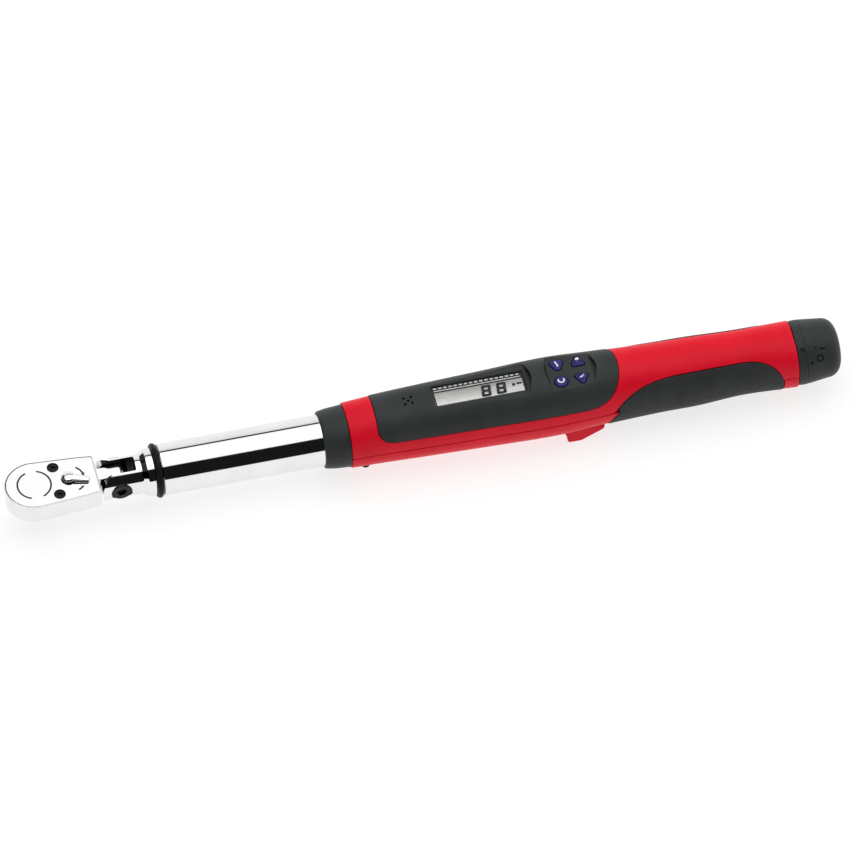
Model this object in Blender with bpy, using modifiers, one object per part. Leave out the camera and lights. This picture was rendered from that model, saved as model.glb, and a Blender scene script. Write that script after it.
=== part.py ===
"""Digital flex-head torque wrench with a 3/8 inch square drive, modelled as separate working pieces.

Units are metres and +Z is up. The origin is the centre of the square drive's end face. The handle
runs along +X, and the display and the reverse lever face +Z. Everything hangs on one empty at
the height of the tube's axis, so heights below are measured from that axis.
"""

import math

import bmesh
import bpy
import numpy as np
from mathutils import Matrix, Vector

MM = 0.001

# Head and ratchet
HEAD_RADIUS = 14.7 * MM
NOSE_STRETCH = 1.055
HEAD_TOP = 6.7 * MM
HEAD_BOTTOM = -6.0 * MM
NECK_X = 33.0 * MM
NECK_HALF_WIDTH = 12.0 * MM
WAIST_X = 24.0 * MM
WAIST_HALF_WIDTH = 13.0 * MM
PLATE_THICKNESS = 2.2 * MM
PLATE_INSET = 0.7 * MM
PLATE_CLEARANCE = 0.15 * MM
GEAR_TEETH = 72
GEAR_RADIUS = 10.0 * MM
TOOTH_DEPTH = 0.7 * MM
GEAR_LOW = -3.4 * MM
GEAR_HIGH = 4.0 * MM
DRIVE_SQUARE = 9.5 * MM
DRIVE_LENGTH = 11.5 * MM
BOSS_RADIUS = 7.0 * MM
LEVER_X = 18.1 * MM
LEVER_REST = math.radians(-20.0)
SPINDLE_RADIUS = 3.0 * MM
CAM_RADIUS = 4.9 * MM

# Flex joint
PIVOT_X = 44.0 * MM
TANG_HALF = 3.7 * MM
TANG_RADIUS = 6.0 * MM
EAR_INNER = 4.6 * MM
YOKE_RADIUS = 10.4 * MM
EAR_NOSE_RADIUS = 10.0 * MM
SPOT_FACE = 7.6 * MM
SPOT_FACE_RADIUS = 5.65 * MM
SLOT_END_X = 53.0 * MM
PIVOT_RADIUS = 2.6 * MM
PIVOT_HEAD_RADIUS = 5.4 * MM
PIVOT_HEAD_HEIGHT = 2.1 * MM
SHOULDER_START = 55.5 * MM

# Tube and measuring beam
TUBE_RADIUS = 13.6 * MM
TUBE_BORE = 12.2 * MM
TUBE_START = 66.1 * MM
RING_X = 64.0 * MM
RING_SEAT_RADIUS = 10.7 * MM
RING_SEAT_HALF = 1.9 * MM
TUBE_END = 166.0 * MM
SHANK_RADIUS = 12.6 * MM
LANDING_RADIUS = 12.05 * MM
SPIGOT_RADIUS = 7.85 * MM
BEAM_START = 76.0 * MM
BEAM_END = 152.0 * MM
BEAM_HALF_Y = 4.5 * MM
BEAM_HALF_Z = 6.5 * MM
COLLAR_START = 150.7 * MM

# Housing: x, half width, crown above the axis, belly below the axis
HOUSING_SECTIONS = (
    (164.5 * MM, 16.3 * MM, 16.6 * MM, 16.3 * MM),
    (180.0 * MM, 16.6 * MM, 18.6 * MM, 16.6 * MM),
    (206.0 * MM, 17.4 * MM, 19.8 * MM, 17.4 * MM),
    (239.0 * MM, 18.3 * MM, 20.8 * MM, 18.3 * MM),
    (272.0 * MM, 19.0 * MM, 22.1 * MM, 18.9 * MM),
    (298.0 * MM, 17.9 * MM, 20.9 * MM, 17.8 * MM),
    (327.0 * MM, 16.8 * MM, 19.7 * MM, 16.6 * MM),
    (348.0 * MM, 16.7 * MM, 19.0 * MM, 16.7 * MM),
    (373.0 * MM, 15.7 * MM, 18.0 * MM, 15.3 * MM),
    (401.5 * MM, 16.7 * MM, 16.4 * MM, 17.1 * MM),
)
HOUSING_POWER = 2.3
HOUSING_START = 164.5 * MM
HOUSING_END = 401.5 * MM
WALL = 2.0 * MM
GAP = 0.3 * MM
PARTING = 0.5

# Display panel: a dark cover let into the upper shell. Angles run from the near side over the top.
PANEL_START = 179.0 * MM
PANEL_CORNER = 8.5 * MM
PANEL_ROUND_START = 290.0 * MM
PANEL_END = 308.0 * MM
PANEL_EDGE_FRONT = 25.0
PANEL_EDGE_REAR = 21.0
PANEL_CORNER_ANGLE = 27.0
PANEL_PROUD = 0.3 * MM
PANEL_FLAT = 19.2 * MM
PANEL_UNDERSIDE = 17.3 * MM
WINDOW_X = (210.7 * MM, 259.0 * MM)
WINDOW_HALF = 6.3 * MM
DISPLAY_FLAT_X = (207.0 * MM, 261.5 * MM)
KEYPAD_FLAT_X = (267.0 * MM, 296.0 * MM)
BUTTON_X = (277.3 * MM, 288.3 * MM)
BUTTON_Y = 5.5 * MM
BUTTON_TOP = 20.1 * MM
BUTTON_FLANGE_TOP = 16.3 * MM
BUTTON_FLANGE_LOW = 15.3 * MM
BUTTON_TRAVEL_ROOM = 1.0 * MM
SPEAKER_X = 197.4 * MM
SOUND_HOLE_RADIUS = 0.6 * MM
SOUND_HOLE_REACH = 2.7 * MM

# Rubber grip: it wraps the belly, and its upper edge climbs both sides
GRIP_START = 305.4 * MM
GRIP_BELLY_START = 300.0 * MM
GRIP_END = 393.4 * MM
GRIP_PEAK = 51.5
GRIP_CREST = (354.9 * MM, 368 * MM)
GRIP_FRONT_LENGTH = 55 * MM
GRIP_FRONT_DROP = 95.0
GRIP_REAR_LENGTH = 25.6 * MM
GRIP_REAR_DROP = 66.0
GRIP_THICKNESS = 1.8 * MM
GRIP_SAMPLES = 16

# Inner handle tube, batteries and cap
HANDLE_TUBE_START = 176.0 * MM
SPIGOT_END = 192.0 * MM
BEAM_PIN_X = 184.0 * MM
HANDLE_TUBE_RADIUS = 9.3 * MM
HANDLE_TUBE_BORE = 8.0 * MM
PORT_START = 386.5 * MM
PORT_END = 401.2 * MM
PORT_RADIUS = 11.7 * MM
PORT_BORE = 10.3 * MM
PORT_FLANGE_RADIUS = 14.0 * MM
BATTERY_LENGTH = 50.0 * MM
BATTERY_RADIUS = 7.1 * MM
FIRST_BATTERY_X = 238.5 * MM
BATTERY_PITCH = 50.4 * MM
CAP_START = 401.8 * MM
CAP_END = 426.0 * MM
CAP_SPIGOT_RADIUS = 10.05 * MM
CAP_SPIGOT_BORE = 8.7 * MM
SEAL_GROOVE_RADIUS = 9.3 * MM
PCB_LOW = 11.6 * MM
PCB_HIGH = 13.2 * MM

AXIS_HEIGHT = DRIVE_LENGTH - HEAD_BOTTOM

# Colour, metallic, roughness
FINISHES = {
    "chrome": ((0.80, 0.80, 0.82), 1.0, 0.10),
    "steel": ((0.48, 0.48, 0.50), 1.0, 0.35),
    "black_steel": ((0.03, 0.03, 0.035), 0.8, 0.40),
    "bronze": ((0.55, 0.36, 0.16), 1.0, 0.35),
    "red": ((0.68, 0.012, 0.03), 0.0, 0.30),
    "dark_plastic": ((0.045, 0.05, 0.05), 0.0, 0.45),
    "rubber": ((0.03, 0.03, 0.03), 0.0, 0.75),
    "lens": ((0.55, 0.60, 0.58), 0.0, 0.05),
    "circuit": ((0.02, 0.16, 0.06), 0.0, 0.40),
    "display": ((0.55, 0.58, 0.55), 0.2, 0.25),
    "button": ((0.08, 0.06, 0.40), 0.0, 0.40),
    "battery": ((0.10, 0.10, 0.12), 0.6, 0.30),
    "white_plastic": ((0.75, 0.75, 0.72), 0.0, 0.45),
}


def clear_scene():
    for obj in list(bpy.data.objects):
        bpy.data.objects.remove(obj, do_unlink=True)


def add_collection(name):
    collection = bpy.data.collections.new(name)
    bpy.context.scene.collection.children.link(collection)
    return collection


def add_empty(name, location, parent=None):
    empty = bpy.data.objects.new(name, None)
    empty.location = location
    empty.parent = parent
    PARTS.objects.link(empty)
    return empty


def material(name, finish):
    colour, metallic, roughness = FINISHES[finish]
    made = bpy.data.materials.new(name)
    made.use_nodes = True
    shader = made.node_tree.nodes["Principled BSDF"]
    shader.inputs["Base Color"].default_value = (*colour, 1.0)
    shader.inputs["Metallic"].default_value = metallic
    shader.inputs["Roughness"].default_value = roughness
    return made


def add_object(name, mesh, finish, parent, location=(0, 0, 0)):
    """A visible piece, or a hidden tool when it has no finish."""
    obj = bpy.data.objects.new(name, mesh)
    obj.location = location
    obj.parent = parent
    if finish:
        PARTS.objects.link(obj)
        mesh.materials.append(material(name, finish))
    else:
        CUTTERS.objects.link(obj)
        obj.hide_render = True
        obj.display_type = "WIRE"
    return obj


def mesh_of(name, bm, smooth=True):
    bmesh.ops.recalc_face_normals(bm, faces=bm.faces)
    mesh = bpy.data.meshes.new(name)
    bm.to_mesh(mesh)
    bm.free()
    if smooth:
        mesh.shade_smooth()
        mesh.set_sharp_from_angle(angle=math.radians(35))
    return mesh


def box_mesh(name, low, high):
    low, high = Vector(low), Vector(high)
    bm = bmesh.new()
    bmesh.ops.create_cube(bm, size=1.0)
    bmesh.ops.scale(bm, vec=high - low, verts=bm.verts)
    bmesh.ops.translate(bm, vec=(low + high) / 2, verts=bm.verts)
    return mesh_of(name, bm, smooth=False)


def cylinder_mesh(name, radius, start, end, axis="Z", segments=24):
    """A cylinder about the object's own origin, from start to end along X, Y or Z."""
    turn = {
        "X": Matrix.Rotation(math.radians(90), 4, "Y"),
        "Y": Matrix.Rotation(math.radians(-90), 4, "X"),
        "Z": Matrix.Identity(4),
    }[axis]
    shift = Matrix.Translation((0, 0, (start + end) / 2))
    bm = bmesh.new()
    bmesh.ops.create_cone(
        bm, cap_ends=True, segments=segments, radius1=radius, radius2=radius,
        depth=end - start, matrix=turn @ shift,
    )
    return mesh_of(name, bm)


def turned(name, profile, finish, parent, location=(0, 0, 0), axis="Z", steps=32):
    """A turned piece: profile points are (radius, place along the axis), top to bottom outside."""
    bm = bmesh.new()
    points = [bm.verts.new((radius, 0, along)) for radius, along in profile]
    on_axis = profile[0][0] == 0 and profile[-1][0] == 0
    for first, second in zip(points, points[1:]):
        bm.edges.new((first, second))
    if not on_axis:
        bm.edges.new((points[-1], points[0]))
    mesh = bpy.data.meshes.new(name)
    bm.to_mesh(mesh)
    bm.free()
    obj = add_object(name, mesh, finish, parent, location)
    if axis == "X":
        obj.rotation_euler = (0, math.radians(90), 0)
    if axis == "Y":
        obj.rotation_euler = (math.radians(-90), 0, 0)
    screw = obj.modifiers.new("Screw", "SCREW")
    screw.steps = steps
    screw.render_steps = steps
    screw.use_merge_vertices = True
    screw.merge_threshold = 0.00001
    screw.use_smooth_shade = True
    weld = obj.modifiers.new("Weld", "WELD")
    weld.merge_threshold = 0.00001
    return obj


def ring(name, inner, outer, start, end, finish, parent, location=(0, 0, 0), axis="Z", steps=32):
    profile = ((outer, end), (outer, start), (inner, start), (inner, end))
    return turned(name, profile, finish, parent, location, axis, steps)


def torus(name, radius, section, finish, parent, location, axis="Z", steps=24, sides=8):
    angles = [-math.tau * i / sides for i in range(sides)]
    profile = [(radius + section * math.cos(a), section * math.sin(a)) for a in angles]
    return turned(name, profile, finish, parent, location, axis, steps)


def arc(centre, radius, start, end, steps):
    """Points of an arc in degrees, both ends included."""
    angles = [math.radians(start + (end - start) * i / steps) for i in range(steps + 1)]
    return [(centre[0] + radius * math.cos(a), centre[1] + radius * math.sin(a)) for a in angles]


def plate_mesh(name, outline, low, high):
    """A flat outline in XY, from low to high along Z."""
    curve = bpy.data.curves.new(name, "CURVE")
    curve.dimensions = "2D"
    curve.fill_mode = "BOTH"
    curve.extrude = (high - low) / 2
    spline = curve.splines.new("POLY")
    spline.points.add(len(outline) - 1)
    for point, (x, y) in zip(spline.points, outline):
        point.co = (x, y, 0, 1)
    spline.use_cyclic_u = True
    holder = bpy.data.objects.new(name + "_outline", curve)
    bpy.context.scene.collection.objects.link(holder)
    bpy.context.view_layer.update()
    graph = bpy.context.evaluated_depsgraph_get()
    mesh = bpy.data.meshes.new_from_object(holder.evaluated_get(graph))
    bpy.data.objects.remove(holder, do_unlink=True)
    bm = bmesh.new()
    bm.from_mesh(mesh)
    bpy.data.meshes.remove(mesh)
    bmesh.ops.remove_doubles(bm, verts=bm.verts, dist=0.000001)
    bmesh.ops.translate(bm, vec=(0, 0, (low + high) / 2), verts=bm.verts)
    return mesh_of(name, bm)


def side_plate_mesh(name, outline, low, high):
    """A flat outline in XZ, from low to high along Y."""
    mesh = plate_mesh(name, outline, -high, -low)
    mesh.transform(Matrix.Rotation(math.radians(90), 4, "X"))
    return mesh


def wire(name, points, radius, finish, parent, location=(0, 0, 0)):
    """A round wire or coil on a run of points."""
    curve = bpy.data.curves.new(name, "CURVE")
    curve.dimensions = "3D"
    curve.bevel_depth = radius
    curve.bevel_resolution = 1
    curve.use_fill_caps = True
    spline = curve.splines.new("POLY")
    spline.points.add(len(points) - 1)
    for point, place in zip(spline.points, points):
        point.co = (*place, 1)
    return add_object(name, curve, finish, parent, location)


def coil_points(radius, start, end, turns, axis, per_turn=10):
    """Points of a helix about the local origin, along X or Z."""
    count = int(turns * per_turn)
    points = []
    for i in range(count + 1):
        angle = math.tau * i / per_turn
        along = start + (end - start) * i / count
        side, rise = radius * math.cos(angle), radius * math.sin(angle)
        points.append((along, side, rise) if axis == "X" else (side, rise, along))
    return points


def boolean(obj, tool, operation):
    modifier = obj.modifiers.new(f"{operation.title()} {tool.name}", "BOOLEAN")
    modifier.operation = operation
    modifier.solver = "EXACT"
    modifier.object = tool


def cut(obj, name, mesh, parent, location=(0, 0, 0)):
    boolean(obj, add_object(name, mesh, None, parent, location), "DIFFERENCE")


def join(obj, name, mesh, parent, location=(0, 0, 0)):
    boolean(obj, add_object(name, mesh, None, parent, location), "UNION")


# ---------------------------------------------------------------- housing surface


def section_at(x):
    """Half width, crown and belly of the housing at x, on a smooth curve through the sections."""
    places = [row[0] for row in HOUSING_SECTIONS]
    x = min(max(x, places[0]), places[-1])
    i = min(max(np.searchsorted(places, x) - 1, 0), len(places) - 2)
    before, after = max(i - 1, 0), min(i + 2, len(places) - 1)
    span = places[i + 1] - places[i]
    t = (x - places[i]) / span
    found = []
    for column in (1, 2, 3):
        value = [row[column] for row in HOUSING_SECTIONS]
        slope_a = (value[i + 1] - value[before]) / (places[i + 1] - places[before]) * span
        slope_b = (value[after] - value[i]) / (places[after] - places[i]) * span
        found.append(
            (2 * t**3 - 3 * t**2 + 1) * value[i] + (t**3 - 2 * t**2 + t) * slope_a
            + (3 * t**2 - 2 * t**3) * value[i + 1] + (t**3 - t**2) * slope_b
        )
    return found


def skin_radius(x, angle):
    """Distance from the axis to the housing's surface, at an angle in degrees from -Y over +Z."""
    half_width, crown, belly = section_at(x)
    across = abs(math.cos(math.radians(angle)))
    rise = math.sin(math.radians(angle))
    height = crown if rise >= 0 else belly
    total = (across / half_width) ** HOUSING_POWER + (abs(rise) / height) ** HOUSING_POWER
    return total ** (-1 / HOUSING_POWER)


def skin_point(x, angle, radius):
    return Vector((x, -radius * math.cos(math.radians(angle)), radius * math.sin(math.radians(angle))))


def panel_edge(x):
    """Angle of the display panel's near edge at x: rounded front corners and a rounded rear end."""
    along = (x - PANEL_START) / (PANEL_END - PANEL_START)
    edge = PANEL_EDGE_FRONT + (PANEL_EDGE_REAR - PANEL_EDGE_FRONT) * along
    corner = min(max((PANEL_START + PANEL_CORNER - x) / PANEL_CORNER, 0), 1)
    tail = min(max((x - PANEL_ROUND_START) / (PANEL_END - PANEL_ROUND_START), 0), 1)
    edge += PANEL_CORNER_ANGLE * (1 - math.sqrt(1 - corner**2))
    return 90 - (90 - edge) * math.sqrt(1 - tail**2)


def grip_edge(x):
    """Angle of the grip's upper edge at x: it sweeps up from the belly and comes down at the end."""
    front = min(max((GRIP_CREST[0] - x) / GRIP_FRONT_LENGTH, 0), 1)
    rear = min(max((x - GRIP_CREST[1]) / GRIP_REAR_LENGTH, 0), 1)
    drop = GRIP_FRONT_DROP * (1 - math.sqrt(1 - front**4))
    return GRIP_PEAK - drop - GRIP_REAR_DROP * (1 - math.sqrt(1 - rear**3))


def belly_shift(x, angle):
    """How far a cross line leans forward under the belly, to follow the grip's front edge."""
    angle = -90 + abs(-90 - angle)
    depth = min(max(-angle / 38.0, 0), 1)
    lean = (GRIP_START - GRIP_BELLY_START) * math.sin(depth * math.pi / 2)
    return -lean * max(1 - abs(x - GRIP_START) / (20 * MM), 0)


def lofted(name, stations, limits, outer, inner, samples, finish, parent, shift=None):
    """A curved wall between two surfaces about the axis, closed at its edges and its ends."""
    ring_size = 2 * (samples + 1)
    bm = bmesh.new()
    rings = []
    for x in stations:
        low, high = limits(x)
        angles = [low + (high - low) * i / samples for i in range(samples + 1)]
        points = [(a, outer(x, a)) for a in angles] + [(a, inner(x, a)) for a in reversed(angles)]
        rings.append([
            bm.verts.new(skin_point(x + (shift(x, a) if shift else 0), a, radius))
            for a, radius in points
        ])
    for first, second in zip(rings, rings[1:]):
        for i in range(ring_size):
            j = (i + 1) % ring_size
            bm.faces.new((first[i], first[j], second[j], second[i]))
    for end in (rings[0], rings[-1]):
        for i in range(samples):
            bm.faces.new((end[i], end[i + 1], end[-2 - i], end[-1 - i]))
    return add_object(name, mesh_of(name, bm), finish, parent)


def spaced(start, end, count):
    return list(np.linspace(start, end, count))


def eased(start, end, count, tight_end):
    """Stations that crowd towards one end, for an outline that rounds off there."""
    steps = [math.sin(i / (count - 1) * math.pi / 2) for i in range(count)]
    if tight_end:
        return [start + (end - start) * s for s in steps]
    return [end - (end - start) * s for s in reversed(steps)]


# ---------------------------------------------------------------- head


def head_outline(inset=0.0, end_x=NECK_X):
    """Round nose with sides that taper to the waist and the neck."""
    radius = HEAD_RADIUS - inset
    nose = [(min(x, x * NOSE_STRETCH), y) for x, y in arc((0, 0), radius, 80, 280, 20)]
    waist = WAIST_HALF_WIDTH - inset
    neck = NECK_HALF_WIDTH - inset
    return [*nose, (WAIST_X, -waist), (end_x, -neck), (end_x, neck), (WAIST_X, waist)]


def plate_outline(inset):
    """The cover plate's outline: parallel to the head's all round."""
    return head_outline(inset, NECK_X - inset)


def add_head(parent):
    body = add_object(
        "head_body", plate_mesh("head_body", head_outline(), HEAD_BOTTOM, HEAD_TOP), "chrome", parent
    )
    tang = arc((PIVOT_X, 0), TANG_RADIUS, -90, 90, 12)
    tang += [(NECK_X - 1 * MM, TANG_RADIUS), (NECK_X - 1 * MM, -TANG_RADIUS)]
    join(body, "tang", side_plate_mesh("tang", tang, -TANG_HALF, TANG_HALF), parent)
    recess = plate_mesh(
        "plate_recess", plate_outline(PLATE_INSET - PLATE_CLEARANCE), HEAD_TOP - PLATE_THICKNESS, 9 * MM
    )
    cut(body, "plate_recess", recess, parent)
    cut(body, "gear_bore", cylinder_mesh("gear_bore", 10.5 * MM, -3.8 * MM, 6 * MM, segments=40), parent)
    pocket = arc((LEVER_X, 0), 6.6 * MM, -100, 100, 14) + [(4 * MM, 8 * MM), (4 * MM, -8 * MM)]
    cut(body, "pawl_pocket", plate_mesh("pawl_pocket", pocket, -3.8 * MM, 6 * MM), parent)
    cut(body, "drive_hole", cylinder_mesh("drive_hole", 8.5 * MM, -8 * MM, 0, segments=32), parent)
    cut(
        body, "spindle_hole", cylinder_mesh("spindle_hole", 2.2 * MM, -5.3 * MM, 0), parent,
        (LEVER_X, 0, 0),
    )
    cut(body, "pivot_hole", cylinder_mesh("pivot_hole", 2.8 * MM, -9 * MM, 9 * MM, "Y"), parent,
        (PIVOT_X, 0, 0))
    screw_places = [(11.6 * MM, side * 8.8 * MM) for side in (-1, 1)]
    for i, (x, y) in enumerate(screw_places, 1):
        cut(body, f"screw_hole_{i}", cylinder_mesh("screw_hole", 1.2 * MM, -4 * MM, 6 * MM), parent,
            (x, y, 0))

    plate = add_object(
        "cover_plate",
        plate_mesh("cover_plate", plate_outline(PLATE_INSET),
                   HEAD_TOP - PLATE_THICKNESS + PLATE_CLEARANCE, HEAD_TOP),
        "chrome", parent,
    )
    cut(plate, "lever_hole", cylinder_mesh("lever_hole", 4.1 * MM, 0, 9 * MM), parent,
        (LEVER_X, 0, 0))
    for i, (x, y) in enumerate(screw_places, 1):
        cut(plate, f"screw_seat_{i}", cylinder_mesh("screw_seat", 2.9 * MM, 5 * MM, 9 * MM), parent,
            (x, y, 0))
        cut(plate, f"screw_pass_{i}", cylinder_mesh("screw_pass", 1.2 * MM, 0, 9 * MM), parent,
            (x, y, 0))
        profile = (
            (0, 6.4 * MM), (2.7 * MM, 6.4 * MM), (2.7 * MM, 5.15 * MM), (1.05 * MM, 5.15 * MM),
            (1.05 * MM, -3.6 * MM), (0, -3.6 * MM),
        )
        screw = turned(f"cover_screw_{i}", profile, "black_steel", parent, (x, y, 0), steps=16)
        cut(screw, f"cover_screw_socket_{i}",
            cylinder_mesh("socket", 1.3 * MM, 5.5 * MM, 8 * MM, segments=6), parent, (x, y, 0))

    ring("drive_bush", BOSS_RADIUS + 0.1 * MM, 8.35 * MM, HEAD_BOTTOM + 0.2 * MM, GEAR_LOW - 0.2 * MM,
         "bronze", parent, steps=24)


def add_drive(parent):
    """Ratchet gear, boss and square in one piece, with the sprung ball in the square's side."""
    teeth = []
    for i in range(GEAR_TEETH):
        for part, radius in ((0.0, GEAR_RADIUS), (0.5, GEAR_RADIUS - TOOTH_DEPTH)):
            angle = math.tau * (i + part) / GEAR_TEETH
            teeth.append((radius * math.cos(angle), radius * math.sin(angle)))
    gear = add_object("drive_gear", plate_mesh("drive_gear", teeth, GEAR_LOW, GEAR_HIGH), "steel",
                      parent)
    tip = -AXIS_HEIGHT
    join(gear, "drive_boss",
         cylinder_mesh("drive_boss", BOSS_RADIUS, HEAD_BOTTOM - 0.3 * MM, 0, segments=24), parent)
    half = DRIVE_SQUARE / 2
    square = box_mesh("drive_square", (-half, -half, tip), (half, half, HEAD_BOTTOM + 1 * MM))
    join(gear, "drive_square", square, parent)
    ball_z = tip + 5 * MM
    cut(gear, "ball_hole", cylinder_mesh("ball_hole", 1.8 * MM, -1.5 * MM, 8 * MM, "X"), parent,
        (0, 0, ball_z))
    ball_x = half - 0.6 * MM
    bm = bmesh.new()
    bmesh.ops.create_uvsphere(bm, u_segments=14, v_segments=10, radius=1.6 * MM)
    add_object("retention_ball", mesh_of("retention_ball", bm), "steel", parent, (ball_x, 0, ball_z))
    points = coil_points(1.1 * MM, -1.1 * MM, ball_x - 2.25 * MM, 3, "X", 8)
    wire("ball_spring", points, 0.2 * MM, "steel", parent, (0, 0, ball_z))


def add_lever(parent):
    """Reverse lever on its spindle, with the cam that tips the pawl. Its origin is the spindle."""
    pivot = add_empty("lever_pivot", (LEVER_X, 0, 0), parent)
    pivot.rotation_euler = (0, 0, LEVER_REST)
    profile = (
        (0, 7.4 * MM), (2.9 * MM, 7.4 * MM), (2.9 * MM, 3.95 * MM), (CAM_RADIUS, 3.95 * MM),
        (CAM_RADIUS, 1.7 * MM), (SPINDLE_RADIUS, 1.7 * MM), (SPINDLE_RADIUS, -3.6 * MM),
        (2.0 * MM, -3.6 * MM), (2.0 * MM, -5.1 * MM), (0, -5.1 * MM),
    )
    lever = turned("reverse_lever", profile, "chrome", pivot, steps=20)
    outline = arc((0, 0), 3.1 * MM, 70, 290, 14) + arc((9.6 * MM, 0), 1.5 * MM, -80, 80, 6)
    join(lever, "lever_arm", plate_mesh("lever_arm", outline, HEAD_TOP + 0.3 * MM, 9.6 * MM), pivot)
    torus("lever_seal", 3.45 * MM, 0.4 * MM, "rubber", parent, (LEVER_X, 0, 6.1 * MM), steps=16,
          sides=6)
    face = GEAR_RADIUS + 0.45 * MM
    back = [(16.6 * MM, -5.3 * MM), (LEVER_X + 2.5 * MM, -4.4 * MM)]
    outline = arc((0, 0), face, 30, -30, 16) + back + [(x, -y) for x, y in reversed(back)]
    outline = [(x - LEVER_X, y) for x, y in outline]
    pawl = add_object("pawl", plate_mesh("pawl", outline, GEAR_LOW, 1.4 * MM), "steel", parent,
                      (LEVER_X, 0, 0))
    cut(pawl, "pawl_bore", cylinder_mesh("pawl_bore", 3.15 * MM, -6 * MM, 6 * MM), parent,
        (LEVER_X, 0, 0))


def add_detent(parent):
    """Sprung ball under the lever's cam, in a hole in the head behind the pawl pocket."""
    head = bpy.data.objects["head_body"]
    place = (LEVER_X + 8.6 * MM, 0, 0)
    cut(head, "detent_hole", cylinder_mesh("detent_hole", 1.3 * MM, -3.4 * MM, 6 * MM, segments=16),
        parent, place)
    points = coil_points(0.75 * MM, -3.0 * MM, 0.6 * MM, 4, "Z", 8)
    wire("detent_spring", points, 0.16 * MM, "steel", parent, place)
    bm = bmesh.new()
    bmesh.ops.create_uvsphere(bm, u_segments=12, v_segments=8, radius=1.1 * MM)
    bmesh.ops.translate(bm, vec=(0, 0, 2.1 * MM), verts=bm.verts)
    add_object("detent_ball", mesh_of("detent_ball", bm), "steel", parent, place)


# ---------------------------------------------------------------- flex joint, beam and tube


def add_flex_joint(parent):
    place = (PIVOT_X, 0, 0)
    seat = SPOT_FACE + 0.2 * MM
    tip = seat + 2.6 * MM
    face = -seat - PIVOT_HEAD_HEIGHT
    profile = (
        (0, tip), (PIVOT_RADIUS, tip), (PIVOT_RADIUS, -seat), (PIVOT_HEAD_RADIUS, -seat),
        (PIVOT_HEAD_RADIUS, face + 0.5 * MM), (PIVOT_HEAD_RADIUS - 0.5 * MM, face), (0, face),
    )
    screw = turned("pivot_screw", profile, "black_steel", parent, place, "Y", steps=24)
    socket = cylinder_mesh("pivot_socket", 2.6 * MM, -20 * MM, -seat - 0.4 * MM, "Y", 6)
    cut(screw, "pivot_socket", socket, parent, place)
    ring("pivot_nut", PIVOT_RADIUS + 0.5 * MM, 4.9 * MM, seat + GAP, seat + 2.4 * MM, "black_steel",
         parent, place, "Y", steps=6)
    for i, middle in enumerate((-1, 1), 1):
        centre = middle * (TANG_HALF + EAR_INNER) / 2
        ring(f"friction_washer_{i}", PIVOT_RADIUS + 0.2 * MM, 5.6 * MM, centre - 0.3 * MM,
             centre + 0.3 * MM, "black_steel", parent, place, "Y", steps=24)


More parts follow.
